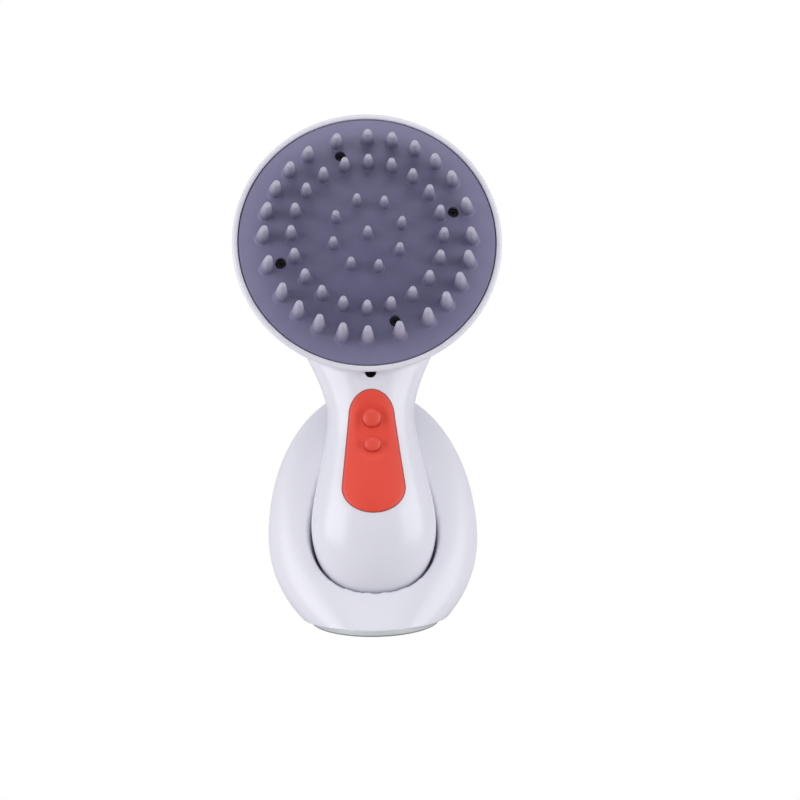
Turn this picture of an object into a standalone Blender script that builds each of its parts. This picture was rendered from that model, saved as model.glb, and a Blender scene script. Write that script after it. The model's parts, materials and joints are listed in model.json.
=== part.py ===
"""Scalp massager brush standing in a leaning holder.

Units are metres. +Z is up, -Y is the front and +X is to the right. The origin is the centre of the
holder's anti-slip sole, on the ground. The massager is drawn along its own axes, x across, u up the
handle and n out of the bristle pad, and an empty leans it back into the holder.
"""
import math

import bmesh
import bpy
from mathutils import Matrix, Vector

MM = 0.001
GAP = 0.3 * MM

# Lean of the massager and the lower end of its handle
LEAN = math.radians(18.5)
HANDLE_FOOT = Vector((0.0, -12.0 * MM, 7.5 * MM))

# Handle: half widths and half depths at heights u, with an elliptical lower end
BULB_HEIGHT = 30.0 * MM
NECK_END = 113.0 * MM
HALF_WIDTHS = ((30, 23.3), (40, 22.1), (52, 19.5), (64, 17.1), (74, 16.5), (84, 19.0), (94, 23.5), (113, 34))
FRONT_DEPTHS = ((30, 19.1), (40, 18.1), (52, 16.0), (64, 14.1), (74, 13.6), (84, 13.6), (94, 12.0), (113, 8.5))
BACK_DEPTHS = ((30, 19.1), (40, 18.1), (52, 16.0), (64, 14.1), (74, 13.4), (90, 13.0), (103, 11.0), (113, 8.0))
WALL = 2.2 * MM
SEAM = 0.15 * MM

# Head: an ellipsoid bowl closed by a rim ring, a carrier plate and the bristle pad
HEAD_U = 136.0 * MM
BOWL_RADIUS = 52.3 * MM
BOWL_DEPTH = 36.5 * MM
BOWL_LEVEL = 24.0 * MM
BOWL_FRONT = 10.0 * MM
RIM_FRONT = 17.0 * MM
RIM_OUTER = 51.0 * MM
RIM_INNER = 48.9 * MM
PAD_RADIUS = 48.6 * MM
PAD_CROWN = 23.0 * MM
PAD_CURVE = 185.0 * MM
PAD_WALL = 3.0 * MM
SCREW_CIRCLE = 34.0 * MM
SCREW_ANGLE = math.radians(16.2)
PAD_HOLE = 2.1 * MM
POST_TOP = 12.8 * MM
POST_RADIUS = 3.0 * MM

# Bristles in millimetres: circle radius, turns from a screw hole in degrees, length, base and tip radius
OUTER_TURNS = (0.0, 17.6, 31.3, 45.0, 58.7, 72.4)
BRISTLES = (
    (0.0, (0.0,), 8.5, 2.0, 1.2),
    (13.4, tuple(45.0 * i for i in range(8)), 8.5, 2.0, 1.2),
    (28.6, tuple(18.0 * i for i in range(20)), 10.0, 2.35, 1.3),
    (39.5, tuple(90.0 * quarter + turn for quarter in range(4) for turn in OUTER_TURNS), 12.0, 2.65, 1.4),
)

# Key pad and its buttons: height u, radius, dome
KEY_LOW, KEY_LOW_SIZE = 41.6 * MM, (11.6 * MM, 10.0 * MM)
KEY_HIGH, KEY_HIGH_SIZE = 69.2 * MM, (8.4 * MM, 9.7 * MM)
KEY_PROUD = 0.7 * MM
KEY_SEAT = 1.2 * MM
POWER_U, POWER_RADIUS = 67.8 * MM, 3.45 * MM
MODE_U, MODE_RADIUS = 57.6 * MM, 3.15 * MM
BUTTON_DOME = 1.5 * MM
BOARD = (4.2 * MM, 5.6 * MM)

# Neck screw under the rim
NECK_SCREW_U = 85.5 * MM
NECK_HOLE = 2.15 * MM

# Motor in the head
MOTOR_RADIUS, MOTOR_LOW, MOTOR_HIGH = 6.0 * MM, 110.0 * MM, 131.0 * MM
MOTOR_N = 1.5 * MM
CLAMP_X, CLAMP_U = 10.2 * MM, 118.0 * MM

# Battery bay
CELL_RADIUS, CELL_LOW, CELL_LENGTH = 5.15 * MM, 20.5 * MM, 44.5 * MM
CELL_X, CELL_N = 5.5 * MM, -4.0 * MM
DOOR_LOW, DOOR_HIGH, DOOR_HALF = 13.0 * MM, 67.5 * MM, 12.0 * MM
DOOR_SCREW_U = 16.0 * MM

# Holder: an egg that leans back, on an oval foot
EGG_LEVEL, EGG_HALF_WIDTH, EGG_BELOW, EGG_ABOVE = 30.0 * MM, 39.8 * MM, 38.5 * MM, 54.5 * MM
EGG_FOOT_DEPTH, EGG_TAPER, EGG_ROUND = 30.0 * MM, 0.3, 24.5 * MM
SHELL_FLOOR = 2.3 * MM
FOOT_SIZE = (24.5 * MM, 32.0 * MM)
SOLE_SIZE = (24.0 * MM, 31.5 * MM)
POCKET_GAP = 1.0 * MM
POCKET_WALL = 2.0 * MM
LIFT = 100.0 * MM
BOSSES = ((-19.8, 4.0, 40.0), (19.8, 4.0, 40.0), (0.0, 24.3, 14.0))

COLOURS = {
    "white_plastic": ((0.80, 0.80, 0.86), 0.25, 0.0),
    "purple_silicone": ((0.115, 0.105, 0.19), 0.5, 0.0),
    "red_rubber": ((0.75, 0.09, 0.06), 0.45, 0.0),
    "grey_plastic": ((0.50, 0.52, 0.52), 0.4, 0.0),
    "black_plastic": ((0.03, 0.03, 0.035), 0.4, 0.0),
    "sole_rubber": ((0.36, 0.38, 0.38), 0.8, 0.0),
    "green_board": ((0.03, 0.20, 0.08), 0.5, 0.0),
    "steel": ((0.55, 0.55, 0.56), 0.3, 1.0),
    "brass": ((0.70, 0.52, 0.22), 0.3, 1.0),
    "cell_wrap": ((0.10, 0.12, 0.14), 0.4, 0.0),
}


def clear_scene():
    """Remove every object that is in the scene."""
    for item in list(bpy.data.objects):
        bpy.data.objects.remove(item, do_unlink=True)


def material(slot):
    """Return the material of a slot, made once."""
    if slot in bpy.data.materials:
        return bpy.data.materials[slot]
    colour, roughness, metallic = COLOURS[slot]
    made = bpy.data.materials.new(slot)
    made.use_nodes = True
    shader = made.node_tree.nodes["Principled BSDF"]
    shader.inputs["Base Color"].default_value = (*colour, 1.0)
    shader.inputs["Roughness"].default_value = roughness
    shader.inputs["Metallic"].default_value = metallic
    return made


def lean_matrix():
    """Return the place of the massager's own axes in the world."""
    return Matrix.Translation(HANDLE_FOOT) @ Matrix.Rotation(-LEAN, 4, "X")


def own(x, u, n):
    """Return a point of the massager from its place across, up the handle and out of the pad."""
    return Vector((x, -n, u))


def smooth_value(points, u):
    """Return the value at height u on the smooth curve through points, which are in millimetres."""
    place = u / MM
    last = len(points) - 1
    span = max(i for i in range(last) if i == 0 or points[i][0] <= place)
    (u0, v0), (u1, v1) = points[span], points[span + 1]
    before = points[max(span - 1, 0)]
    after = points[min(span + 2, last)]
    slope0 = (v1 - before[1]) / (u1 - before[0]) if span else 0.0
    slope1 = (after[1] - v0) / (after[0] - u0)
    t = (place - u0) / (u1 - u0)
    length = u1 - u0
    rise = v0 * (2 * t**3 - 3 * t**2 + 1) + v1 * (3 * t**2 - 2 * t**3)
    return (rise + length * (slope0 * (t**3 - 2 * t**2 + t) + slope1 * (t**3 - t**2))) * MM


def skin(rings):
    """Return a closed mesh through rings of points, where a ring of one point is a pole."""
    mesh = bmesh.new()
    loops = [[mesh.verts.new(point) for point in ring] for ring in rings]
    for low, high in zip(loops, loops[1:]):
        count = max(len(low), len(high))
        for i in range(count):
            j = (i + 1) % count
            corners = [low[i % len(low)], low[j % len(low)], high[j % len(high)], high[i % len(high)]]
            mesh.faces.new(list(dict.fromkeys(corners)))
    for loop in (loops[0], loops[-1]):
        if len(loop) > 1:
            mesh.faces.new(loop)
    return finished(mesh)


def finished(mesh):
    """Turn the faces of a bmesh outwards and return it as mesh data, shaded smooth."""
    bmesh.ops.recalc_face_normals(mesh, faces=mesh.faces)
    data = bpy.data.meshes.new("mesh")
    mesh.to_mesh(data)
    mesh.free()
    data.shade_smooth()
    data.set_sharp_from_angle(angle=math.radians(35.0))
    return data


def place(name, data, slot, parent=None, at=(0.0, 0.0, 0.0)):
    """Add a piece with its material and return it."""
    piece = bpy.data.objects.new(name, data)
    if slot:
        data.materials.append(material(slot))
    bpy.context.scene.collection.objects.link(piece)
    piece.parent = parent
    piece.location = at
    return piece


def guide(data, parent=None, at=(0.0, 0.0, 0.0)):
    """Add a cutter, which isn't a part of the object, and return it."""
    cutter = place("cutter", data, None, parent, at)
    cutter.hide_render = True
    cutter.display_type = "WIRE"
    return cutter


def combine(piece, operation, *tools):
    """Apply one Boolean operation to a piece with each of the tools."""
    for tool in tools:
        step = piece.modifiers.new(operation.lower(), "BOOLEAN")
        step.operation = operation
        step.object = tool
    return piece


def circle(radius, centre, across, along, count):
    """Return the points of a circle round centre in the plane of two directions."""
    turns = [2.0 * math.pi * i / count for i in range(count)]
    return [centre + radius * (math.cos(a) * across + math.sin(a) * along) for a in turns]


def stack(levels, axis="n", count=12):
    """Return a turned solid from (radius, height) levels along n or u."""
    across, along, up = {
        "n": (Vector((1, 0, 0)), Vector((0, 0, 1)), Vector((0, -1, 0))),
        "u": (Vector((1, 0, 0)), Vector((0, 1, 0)), Vector((0, 0, 1))),
    }[axis]
    rings = []
    for radius, height in levels:
        centre = up * height
        rings.append(circle(radius, centre, across, along, count) if radius > 0.0 else [centre])
    return skin(rings)


def ring_solid(profile, count):
    """Return a closed ring turned round n from an outline of (radius, n) points."""
    mesh = bmesh.new()
    turned = []
    for i in range(count):
        a = 2.0 * math.pi * i / count
        turned.append([mesh.verts.new((r * math.cos(a), -n, r * math.sin(a))) for r, n in profile])
    for near, far in zip(turned, turned[1:] + turned[:1]):
        for j in range(len(profile)):
            k = (j + 1) % len(profile)
            mesh.faces.new((near[j], near[k], far[k], far[j]))
    return finished(mesh)


def block(x, u, n):
    """Return a box between two limits each across, up the handle and out of the pad."""
    low, high = own(x[0], u[0], n[0]), own(x[1], u[1], n[1])
    rings = []
    for z in (low.z, high.z):
        corners = ((low.x, low.y), (high.x, low.y), (high.x, high.y), (low.x, high.y))
        rings.append([Vector((cx, cy, z)) for cx, cy in corners])
    return skin(rings)


def prism(outline, n_low, n_high):
    """Return an outline of (x, u) points drawn out along n."""
    return skin([[own(x, u, n) for x, u in outline] for n in (n_low, n_high)])


# Handle and head blanks


def handle_ring(u, grow, scale=1.0, count=24):
    """Return one ring of the handle, grown by a thickness and scaled about the handle's axis."""
    measured = max(u, BULB_HEIGHT)
    width = (smooth_value(HALF_WIDTHS, measured) + grow) * scale
    front = (smooth_value(FRONT_DEPTHS, measured) + grow) * scale
    back = (smooth_value(BACK_DEPTHS, measured) + grow) * scale
    points = []
    for i in range(count):
        a = 2.0 * math.pi * i / count
        depth = front if math.sin(a) > 0.0 else back
        points.append(own(width * math.cos(a), u, depth * math.sin(a)))
    return points


def handle_rings(grow=0.0, top=NECK_END, bulb_steps=7, neck_steps=13, count=24):
    """Return the rings of the whole handle from its lower pole to its top."""
    rings = [[own(0.0, -grow, 0.0)]]
    for i in range(1, bulb_steps):
        a = 0.5 * math.pi * i / bulb_steps
        height = BULB_HEIGHT - (BULB_HEIGHT + grow) * math.cos(a)
        rings.append(handle_ring(height, grow, math.sin(a), count))
    for i in range(neck_steps):
        rings.append(handle_ring(BULB_HEIGHT + (top - BULB_HEIGHT) * i / (neck_steps - 1), grow, 1.0, count))
    return rings


def bowl_radius(n, grow=0.0):
    """Return the bowl's outer radius at a depth n."""
    part = (BOWL_LEVEL - n) / (BOWL_DEPTH + grow)
    return (BOWL_RADIUS + grow) * math.sqrt(max(0.0, 1.0 - part * part))


def bowl_levels(grow, top, steps=9):
    """Return the (radius, n) levels of the bowl from its back pole to a top level."""
    back = BOWL_LEVEL - BOWL_DEPTH - grow
    start = math.acos((BOWL_LEVEL - top) / (BOWL_DEPTH + grow))
    levels = [(0.0, back)]
    for i in range(1, steps + 1):
        n = BOWL_LEVEL - (BOWL_DEPTH + grow) * math.cos(start * i / steps)
        levels.append((bowl_radius(n, grow), n))
    return levels


def pad_front(radius):
    """Return the height n of the pad's front face at a radius."""
    return PAD_CROWN - radius * radius / (2.0 * PAD_CURVE)


def screw_places():
    """Return the (x, u) places of the four pad screws, from the head's centre."""
    turns = [SCREW_ANGLE + 0.5 * math.pi * i for i in range(4)]
    return [(SCREW_CIRCLE * math.cos(a), SCREW_CIRCLE * math.sin(a)) for a in turns]


def teardrop(grow, count=9):
    """Return the (x, u) outline of the key pad, grown by a margin."""
    points = []
    for centre, (half, tall), start in ((KEY_LOW, KEY_LOW_SIZE, math.pi), (KEY_HIGH, KEY_HIGH_SIZE, 0.0)):
        for i in range(count):
            a = start + math.pi * i / (count - 1)
            points.append(((half + grow) * math.cos(a), centre + (tall + grow) * math.sin(a)))
    return points


def rounded_slab(half, low, high, radius, grow, count=4):
    """Return the (x, u) outline of a rectangle with round corners, grown by a margin."""
    corners = ((half, low, -0.5), (half, high, 0.0), (-half, high, 0.5), (-half, low, 1.0))
    points = []
    for x, u, start in corners:
        cx = math.copysign(half - radius, x)
        cu = low + radius if u == low else high - radius
        for i in range(count):
            a = math.pi * (start + 0.5 * i / (count - 1))
            points.append((cx + (radius + grow) * math.cos(a), cu + (radius + grow) * math.sin(a)))
    return points


def socket_screw(name, head, shank, parent, at):
    """Add a screw along n from its head (radius, low, high) and its shank (radius, low)."""
    head_radius, head_low, head_high = head
    shank_radius, shank_low = shank
    recess = 0.45 * head_radius
    floor = head_low + 0.35 * (head_high - head_low)
    levels = [(0.0, shank_low), (shank_radius, shank_low + 0.6 * MM), (shank_radius, head_low)]
    levels += [(head_radius, head_low), (head_radius, 0.5 * (head_low + head_high))]
    levels += [(0.85 * head_radius, head_high), (recess, head_high), (recess, floor), (0.0, floor)]
    return place(name, stack(levels), "steel", parent, at)


# The massager's pieces


def shell_blank(name, axes, keep_front):
    """Add one half of the hollow white casing."""
    piece = place(name, skin(handle_rings()), "white_plastic", axes)
    bowl = guide(stack(bowl_levels(0.0, BOWL_FRONT), count=36), axes, own(0, HEAD_U, 0))
    limits = (SEAM, 60.0 * MM) if keep_front else (-60.0 * MM, -SEAM)
    half = guide(block((-60.0 * MM, 60.0 * MM), (-20.0 * MM, 210.0 * MM), limits), axes)
    inside = guide(skin(handle_rings(-WALL, NECK_END - 2.0 * MM, 6, 9, 20)), axes)
    hollow = bowl_levels(-WALL, BOWL_FRONT, 7)
    hollow.append((hollow[-1][0], BOWL_FRONT + 2.0 * MM))
    bowl_inside = guide(stack(hollow, count=36), axes, own(0, HEAD_U, 0))
    combine(piece, "UNION", bowl)
    combine(piece, "INTERSECT", half)
    return combine(piece, "DIFFERENCE", inside, bowl_inside)


def trimmed(axes, tool):
    """Return a tool cut back so that it stays inside the casing's outer face."""
    handle = guide(skin(handle_rings(-0.6 * MM, NECK_END - 1.0 * MM, 6, 9, 20)), axes)
    bowl = guide(stack(bowl_levels(-0.6 * MM, POST_TOP + 2.0 * MM, 8), count=30), axes, own(0, HEAD_U, 0))
    return combine(tool, "INTERSECT", combine(handle, "UNION", bowl))


def boss(axes, radius, low, high, x, u):
    """Return a round boss along n that starts in the casing's wall."""
    return trimmed(axes, guide(stack([(radius, low), (radius, high)], count=14), axes, own(x, u, 0)))


def front_shell(axes):
    """Add the front casing with its key seat, button holes and neck screw boss."""
    piece = shell_blank("front_shell", axes, True)
    bridge = guide(block((-15.0 * MM, 15.0 * MM), (80.0 * MM, 92.0 * MM), (7.9 * MM, 20.0 * MM)), axes)
    combine(piece, "UNION", trimmed(axes, bridge), boss(axes, 3.7 * MM, 6.2 * MM, 8.4 * MM, 0, NECK_SCREW_U))
    room = RIM_OUTER + 0.4 * MM
    head_room = stack([(room, BOWL_FRONT), (room, 50.0 * MM)], count=36)
    combine(piece, "DIFFERENCE", guide(head_room, axes, own(0, HEAD_U, 0)))
    seat = guide(prism(teardrop(GAP), 3.0 * MM, 40.0 * MM), axes)
    combine(seat, "DIFFERENCE", guide(skin(handle_rings(-KEY_SEAT, 100.0 * MM, 6, 9)), axes))
    combine(piece, "DIFFERENCE", seat)
    for u, radius in ((POWER_U, POWER_RADIUS), (MODE_U, MODE_RADIUS)):
        hole = stack([(radius + GAP, 5.0 * MM), (radius + GAP, 30.0 * MM)], count=16)
        combine(piece, "DIFFERENCE", guide(hole, axes, own(0, u, 0)))
    for x, u in screw_places():
        room = stack([(POST_RADIUS + GAP, -5.0 * MM), (POST_RADIUS + GAP, 20.0 * MM)], count=14)
        combine(piece, "DIFFERENCE", guide(room, axes, own(x, HEAD_U + u, 0)))
    bore = [(1.55 * MM, 4.0 * MM), (1.55 * MM, 8.0 * MM), (NECK_HOLE, 8.0 * MM), (NECK_HOLE, 25.0 * MM)]
    combine(piece, "DIFFERENCE", guide(stack(bore, count=16), axes, own(0, NECK_SCREW_U, 0)))
    return piece


def rear_shell(axes):
    """Add the rear casing with its screw posts and battery opening."""
    piece = shell_blank("rear_shell", axes, False)
    opening = rounded_slab(DOOR_HALF, DOOR_LOW, DOOR_HIGH, 4.0 * MM, GAP)
    combine(piece, "DIFFERENCE", guide(prism(opening, -40.0 * MM, -5.0 * MM), axes))
    posts = [(x, HEAD_U + u, POST_RADIUS, 0.5 * MM, POST_TOP) for x, u in screw_places()]
    posts.append((0.0, NECK_SCREW_U, 3.3 * MM, -3.5 * MM, 5.6 * MM))
    posts += [(x, CLAMP_U, 2.6 * MM, -3.5 * MM, MOTOR_N - 0.6 * MM) for x in (-CLAMP_X, CLAMP_X)]
    for x, u, radius, floor, top in posts:
        combine(piece, "UNION", boss(axes, radius, -16.0 * MM, top, x, u))
        bore = stack([(1.5 * MM, floor), (1.5 * MM, 20.0 * MM)], count=10)
        combine(piece, "DIFFERENCE", guide(bore, axes, own(x, u, 0)))
    ledge = guide(block((-4.0 * MM, 4.0 * MM), (4.0 * MM, 18.8 * MM), (-13.0 * MM, -8.5 * MM)), axes)
    combine(ledge, "INTERSECT", guide(skin(handle_rings(-0.6 * MM, 60.0 * MM, 6, 6, 20)), axes))
    combine(piece, "UNION", ledge)
    bore = guide(stack([(1.3 * MM, -16.0 * MM), (1.3 * MM, -6.0 * MM)], count=10), axes, own(0, DOOR_SCREW_U, 0))
    return combine(piece, "DIFFERENCE", bore)


def head_pieces(axes):
    """Add the rim, gasket, carrier plate and pad screws."""
    centre = own(0, HEAD_U, 0)
    low = BOWL_FRONT + GAP
    outer = [(bowl_radius(low), low), (RIM_OUTER, 16.0 * MM), (RIM_OUTER - 0.3 * MM, 16.7 * MM)]
    top = [(RIM_OUTER - 1.0 * MM, RIM_FRONT), (RIM_INNER + 0.4 * MM, RIM_FRONT), (RIM_INNER, 16.6 * MM)]
    seat = [(RIM_INNER, 12.8 * MM), (46.5 * MM, 12.8 * MM), (46.5 * MM, low)]
    place("head_rim", ring_solid(outer + top + seat, 48), "white_plastic", axes, centre)
    gasket = [(46.9 * MM, 13.1 * MM), (48.5 * MM, 13.1 * MM), (48.5 * MM, 14.0 * MM), (46.9 * MM, 14.0 * MM)]
    place("pad_gasket", ring_solid(gasket, 36), "black_plastic", axes, centre)
    radii = [15.0 * MM, 30.0 * MM, 40.0 * MM, 44.5 * MM]
    back = [(0.0, PAD_CROWN - 6.0 * MM)] + [(r, pad_front(r) - 6.0 * MM) for r in radii]
    front = [(r, pad_front(r) - PAD_WALL - GAP) for r in reversed(radii)] + [(0.0, pad_front(0) - PAD_WALL - GAP)]
    levels = back + [(46.2 * MM, 11.7 * MM), (46.2 * MM, 13.8 * MM)] + front
    carrier = place("pad_carrier", stack(levels, count=36), "grey_plastic", axes, centre)
    for i, (x, u) in enumerate(screw_places()):
        at = own(x, HEAD_U + u, 0)
        combine(carrier, "DIFFERENCE", guide(stack([(1.6 * MM, 8.0 * MM), (1.6 * MM, 25.0 * MM)], count=12), axes, at))
        socket_screw(f"pad_screw_{i + 1}", (1.75 * MM, 16.9 * MM, 18.4 * MM), (1.2 * MM, 2.0 * MM), axes, at)


def bristle_levels(length, base, tip):
    """Return the (radius, n) levels of one bristle, which starts inside the pad."""
    return [(base, -1.2 * MM), (base, 0.0), (tip, length - 0.8 * tip), (0.0, length)]


def bristle_pad(axes):
    """Add the crowned silicone pad with all its bristles in one moulding."""
    centre = own(0, HEAD_U, 0)
    radii = [12.0 * MM, 24.0 * MM, 36.0 * MM, 44.8 * MM]
    back = [(0.0, PAD_CROWN - PAD_WALL)] + [(r, pad_front(r) - PAD_WALL) for r in radii]
    skirt = [(46.4 * MM, 14.3 * MM), (48.4 * MM, 14.3 * MM), (PAD_RADIUS, 14.6 * MM), (PAD_RADIUS, 16.0 * MM)]
    front = [(47.9 * MM, pad_front(48.0 * MM))] + [(r, pad_front(r)) for r in reversed(radii[:3])]
    levels = back + skirt + front + [(0.0, PAD_CROWN)]
    pad = place("bristle_pad", stack(levels, count=40), "purple_silicone", axes, centre)
    for radius, turns, length, base, tip in BRISTLES:
        data = stack(bristle_levels(length * MM, base * MM, tip * MM), count=7)
        for turn in turns:
            a = SCREW_ANGLE + math.radians(turn)
            at = own(radius * MM * math.cos(a), HEAD_U + radius * MM * math.sin(a), pad_front(radius * MM))
            combine(pad, "UNION", guide(data, axes, at))
    for x, u in screw_places():
        hole = stack([(PAD_HOLE, 8.0 * MM), (PAD_HOLE, 26.0 * MM)], count=14)
        combine(pad, "DIFFERENCE", guide(hole, axes, own(x, HEAD_U + u, 0)))
    return pad


def key_pad(axes):
    """Add the red key pad that lies in its seat on the handle."""
    pad = place("key_pad", prism(teardrop(0.0), 3.0 * MM, 40.0 * MM), "red_rubber", axes)
    combine(pad, "INTERSECT", guide(skin(handle_rings(KEY_PROUD, 100.0 * MM, 7, 11, 32)), axes))
    combine(pad, "DIFFERENCE", guide(skin(handle_rings(GAP - KEY_SEAT, 98.0 * MM, 7, 12, 30)), axes))
    for u, radius in ((POWER_U, POWER_RADIUS), (MODE_U, MODE_RADIUS)):
        hole = stack([(radius + GAP, 5.0 * MM), (radius + GAP, 30.0 * MM)], count=16)
        combine(pad, "DIFFERENCE", guide(hole, axes, own(0, u, 0)))
    return pad


def button(name, axes, u, radius):
    """Add one domed button with its retaining flange, its plunger and its switch."""
    face = smooth_value(FRONT_DEPTHS, u) + KEY_PROUD
    inside = smooth_value(FRONT_DEPTHS, u) - WALL
    flange_top = inside - 1.5 * MM
    flange_low = flange_top - 0.8 * MM
    levels = [(0.0, flange_low), (radius + 0.9 * MM, flange_low), (radius + 0.9 * MM, flange_top)]
    levels += [(radius, flange_top), (radius, face + 0.1 * MM)]
    for i in range(1, 4):
        a = 0.5 * math.pi * i / 4
        levels.append((radius * math.cos(a), face + 0.1 * MM + BUTTON_DOME * math.sin(a)))
    levels.append((0.0, face + 0.1 * MM + BUTTON_DOME))
    at = own(0, u, 0)
    place(f"{name}_button", stack(levels, count=16), "red_rubber", axes, at)
    switch_top = flange_low - 1.2 * MM
    stem = [(1.2 * MM, switch_top - 0.6 * MM), (1.2 * MM, flange_low - GAP)]
    place(f"{name}_plunger", stack(stem, count=12), "black_plastic", axes, at)
    half = 3.0 * MM
    body = block((-half, half), (-half, half), (BOARD[1] + GAP, switch_top))
    switch = place(f"{name}_switch", body, "steel", axes, at)
    well = stack([(1.5 * MM, switch_top - 1.7 * MM), (1.5 * MM, switch_top + 1.0 * MM)], count=12)
    combine(switch, "DIFFERENCE", guide(well, axes, at))


def motor(axes):
    """Add the vibration motor and its rotor, a shaft that carries an eccentric weight."""
    middle = own(0, 0, MOTOR_N)
    top = MOTOR_HIGH + 0.8 * MM
    can = [(0.0, MOTOR_LOW), (MOTOR_RADIUS, MOTOR_LOW), (MOTOR_RADIUS, MOTOR_HIGH), (2.2 * MM, MOTOR_HIGH)]
    can += [(2.2 * MM, top), (1.3 * MM, top), (1.3 * MM, MOTOR_HIGH - 6.0 * MM), (0.0, MOTOR_HIGH - 6.0 * MM)]
    place("motor_can", stack(can, "u", 20), "steel", axes, middle)
    shaft = [(1.0 * MM, MOTOR_HIGH - 5.5 * MM), (1.0 * MM, MOTOR_HIGH + 11.5 * MM)]
    place("motor_shaft", stack(shaft, "u", 12), "steel", axes, middle)
    low, high = MOTOR_HIGH + 1.5 * MM, MOTOR_HIGH + 9.5 * MM
    weight = place("eccentric_weight", stack([(6.8 * MM, low), (6.8 * MM, high)], "u", 24), "brass", axes, middle)
    flank = block((-9.0 * MM, 9.0 * MM), (low - MM, high + MM), (-9.0 * MM, -0.2 * MM))
    combine(weight, "DIFFERENCE", guide(flank, axes, middle))
    combine(weight, "UNION", guide(stack([(2.6 * MM, low), (2.6 * MM, high)], "u", 16), axes, middle))
    bore = stack([(1.3 * MM, low - MM), (1.3 * MM, high + MM)], "u", 12)
    combine(weight, "DIFFERENCE", guide(bore, axes, middle))


def motor_clamp(axes):
    """Add the strap that holds the motor down on the rear shell, and its two screws."""
    middle = own(0, 0, MOTOR_N)
    low, high = CLAMP_U - 3.5 * MM, CLAMP_U + 3.5 * MM
    strap = place("motor_clamp", block((-12.6 * MM, 12.6 * MM), (low, high), (-GAP, 2.0 * MM)),
                  "grey_plastic", axes, middle)
    arch = guide(stack([(8.2 * MM, low), (8.2 * MM, high)], "u", 24), axes, middle)
    under = block((-20.0 * MM, 20.0 * MM), (low - MM, high + MM), (-20.0 * MM, -GAP))
    combine(arch, "DIFFERENCE", guide(under, axes, middle))
    bore = stack([(MOTOR_RADIUS + GAP, low - MM), (MOTOR_RADIUS + GAP, high + MM)], "u", 24)
    combine(strap, "UNION", arch)
    combine(strap, "DIFFERENCE", guide(bore, axes, middle))
    for i, x in enumerate((-CLAMP_X, CLAMP_X)):
        at = own(x, CLAMP_U, MOTOR_N)
        hole = stack([(1.4 * MM, -3.0 * MM), (1.4 * MM, 5.0 * MM)], count=10)
        combine(strap, "DIFFERENCE", guide(hole, axes, at))
        socket_screw(f"clamp_screw_{i + 1}", (1.75 * MM, 2.3 * MM, 3.5 * MM), (1.0 * MM, -2.8 * MM), axes, at)


def battery_bay(axes):
    """Add the two cells, their contact plates, the battery door and its screw."""
    for i, x in enumerate((-CELL_X, CELL_X)):
        top = CELL_LOW + CELL_LENGTH
        levels = [(CELL_RADIUS, CELL_LOW), (CELL_RADIUS, top - MM), (1.9 * MM, top - MM), (1.9 * MM, top)]
        place(f"battery_cell_{i + 1}", stack(levels, "u", 18), "cell_wrap", axes, own(x, 0, CELL_N))
    for name, low in (("contact_plate_lower", CELL_LOW - MM), ("contact_plate_upper", CELL_LOW + CELL_LENGTH + GAP)):
        place(name, block((-9.5 * MM, 9.5 * MM), (low, low + 0.7 * MM), (-7.5 * MM, -0.5 * MM)), "brass", axes)
    outline = rounded_slab(DOOR_HALF, DOOR_LOW, DOOR_HIGH, 4.0 * MM, 0.0)
    door = place("battery_door", prism(outline, -40.0 * MM, -5.5 * MM), "white_plastic", axes)
    combine(door, "INTERSECT", guide(skin(handle_rings(0.0, 100.0 * MM, 7, 11, 28)), axes))
    combine(door, "DIFFERENCE", guide(skin(handle_rings(-WALL, 98.0 * MM, 7, 11, 28)), axes))
    at = own(0, DOOR_SCREW_U, 0)
    bore = [(2.3 * MM, -30.0 * MM), (2.3 * MM, -15.9 * MM), (1.5 * MM, -15.9 * MM), (1.5 * MM, -8.0 * MM)]
    combine(door, "DIFFERENCE", guide(stack(bore, count=16), axes, at))
    head = [(0.0, -17.1 * MM), (1.7 * MM, -17.1 * MM), (2.0 * MM, -16.8 * MM), (2.0 * MM, -16.2 * MM)]
    levels = head + [(1.0 * MM, -16.2 * MM), (1.0 * MM, -10.0 * MM), (0.0, -9.4 * MM)]
    place("battery_door_screw", stack(levels, count=14), "steel", axes, at)


def inner_pieces(axes):
    """Add the switch board, the neck screw and the motor lead."""
    place("switch_board", block((-7.0 * MM, 7.0 * MM), (46.0 * MM, 76.0 * MM), BOARD), "green_board", axes)
    socket_screw("neck_screw", (1.8 * MM, 8.3 * MM, 9.8 * MM), (1.2 * MM, -2.6 * MM), axes,
                  own(0, NECK_SCREW_U, 0))
    route = ((3.0, 109.0, 0.0), (5.5, 103.0, -0.5), (7.5, 96.0, -0.5), (8.0, 88.0, 0.0), (7.0, 81.0, 1.0),
             (5.0, 76.5, 2.2), (4.0, 72.0, 2.9))
    curve = bpy.data.curves.new("motor_lead", "CURVE")
    curve.dimensions = "3D"
    curve.bevel_depth = 0.8 * MM
    curve.bevel_resolution = 2
    curve.use_fill_caps = True
    line = curve.splines.new("POLY")
    line.points.add(len(route) - 1)
    for point, (x, u, n) in zip(line.points, route):
        point.co = (*own(x * MM, u * MM, n * MM), 1.0)
    place("motor_lead", curve, "black_plastic", axes)


# The holder's pieces


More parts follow.
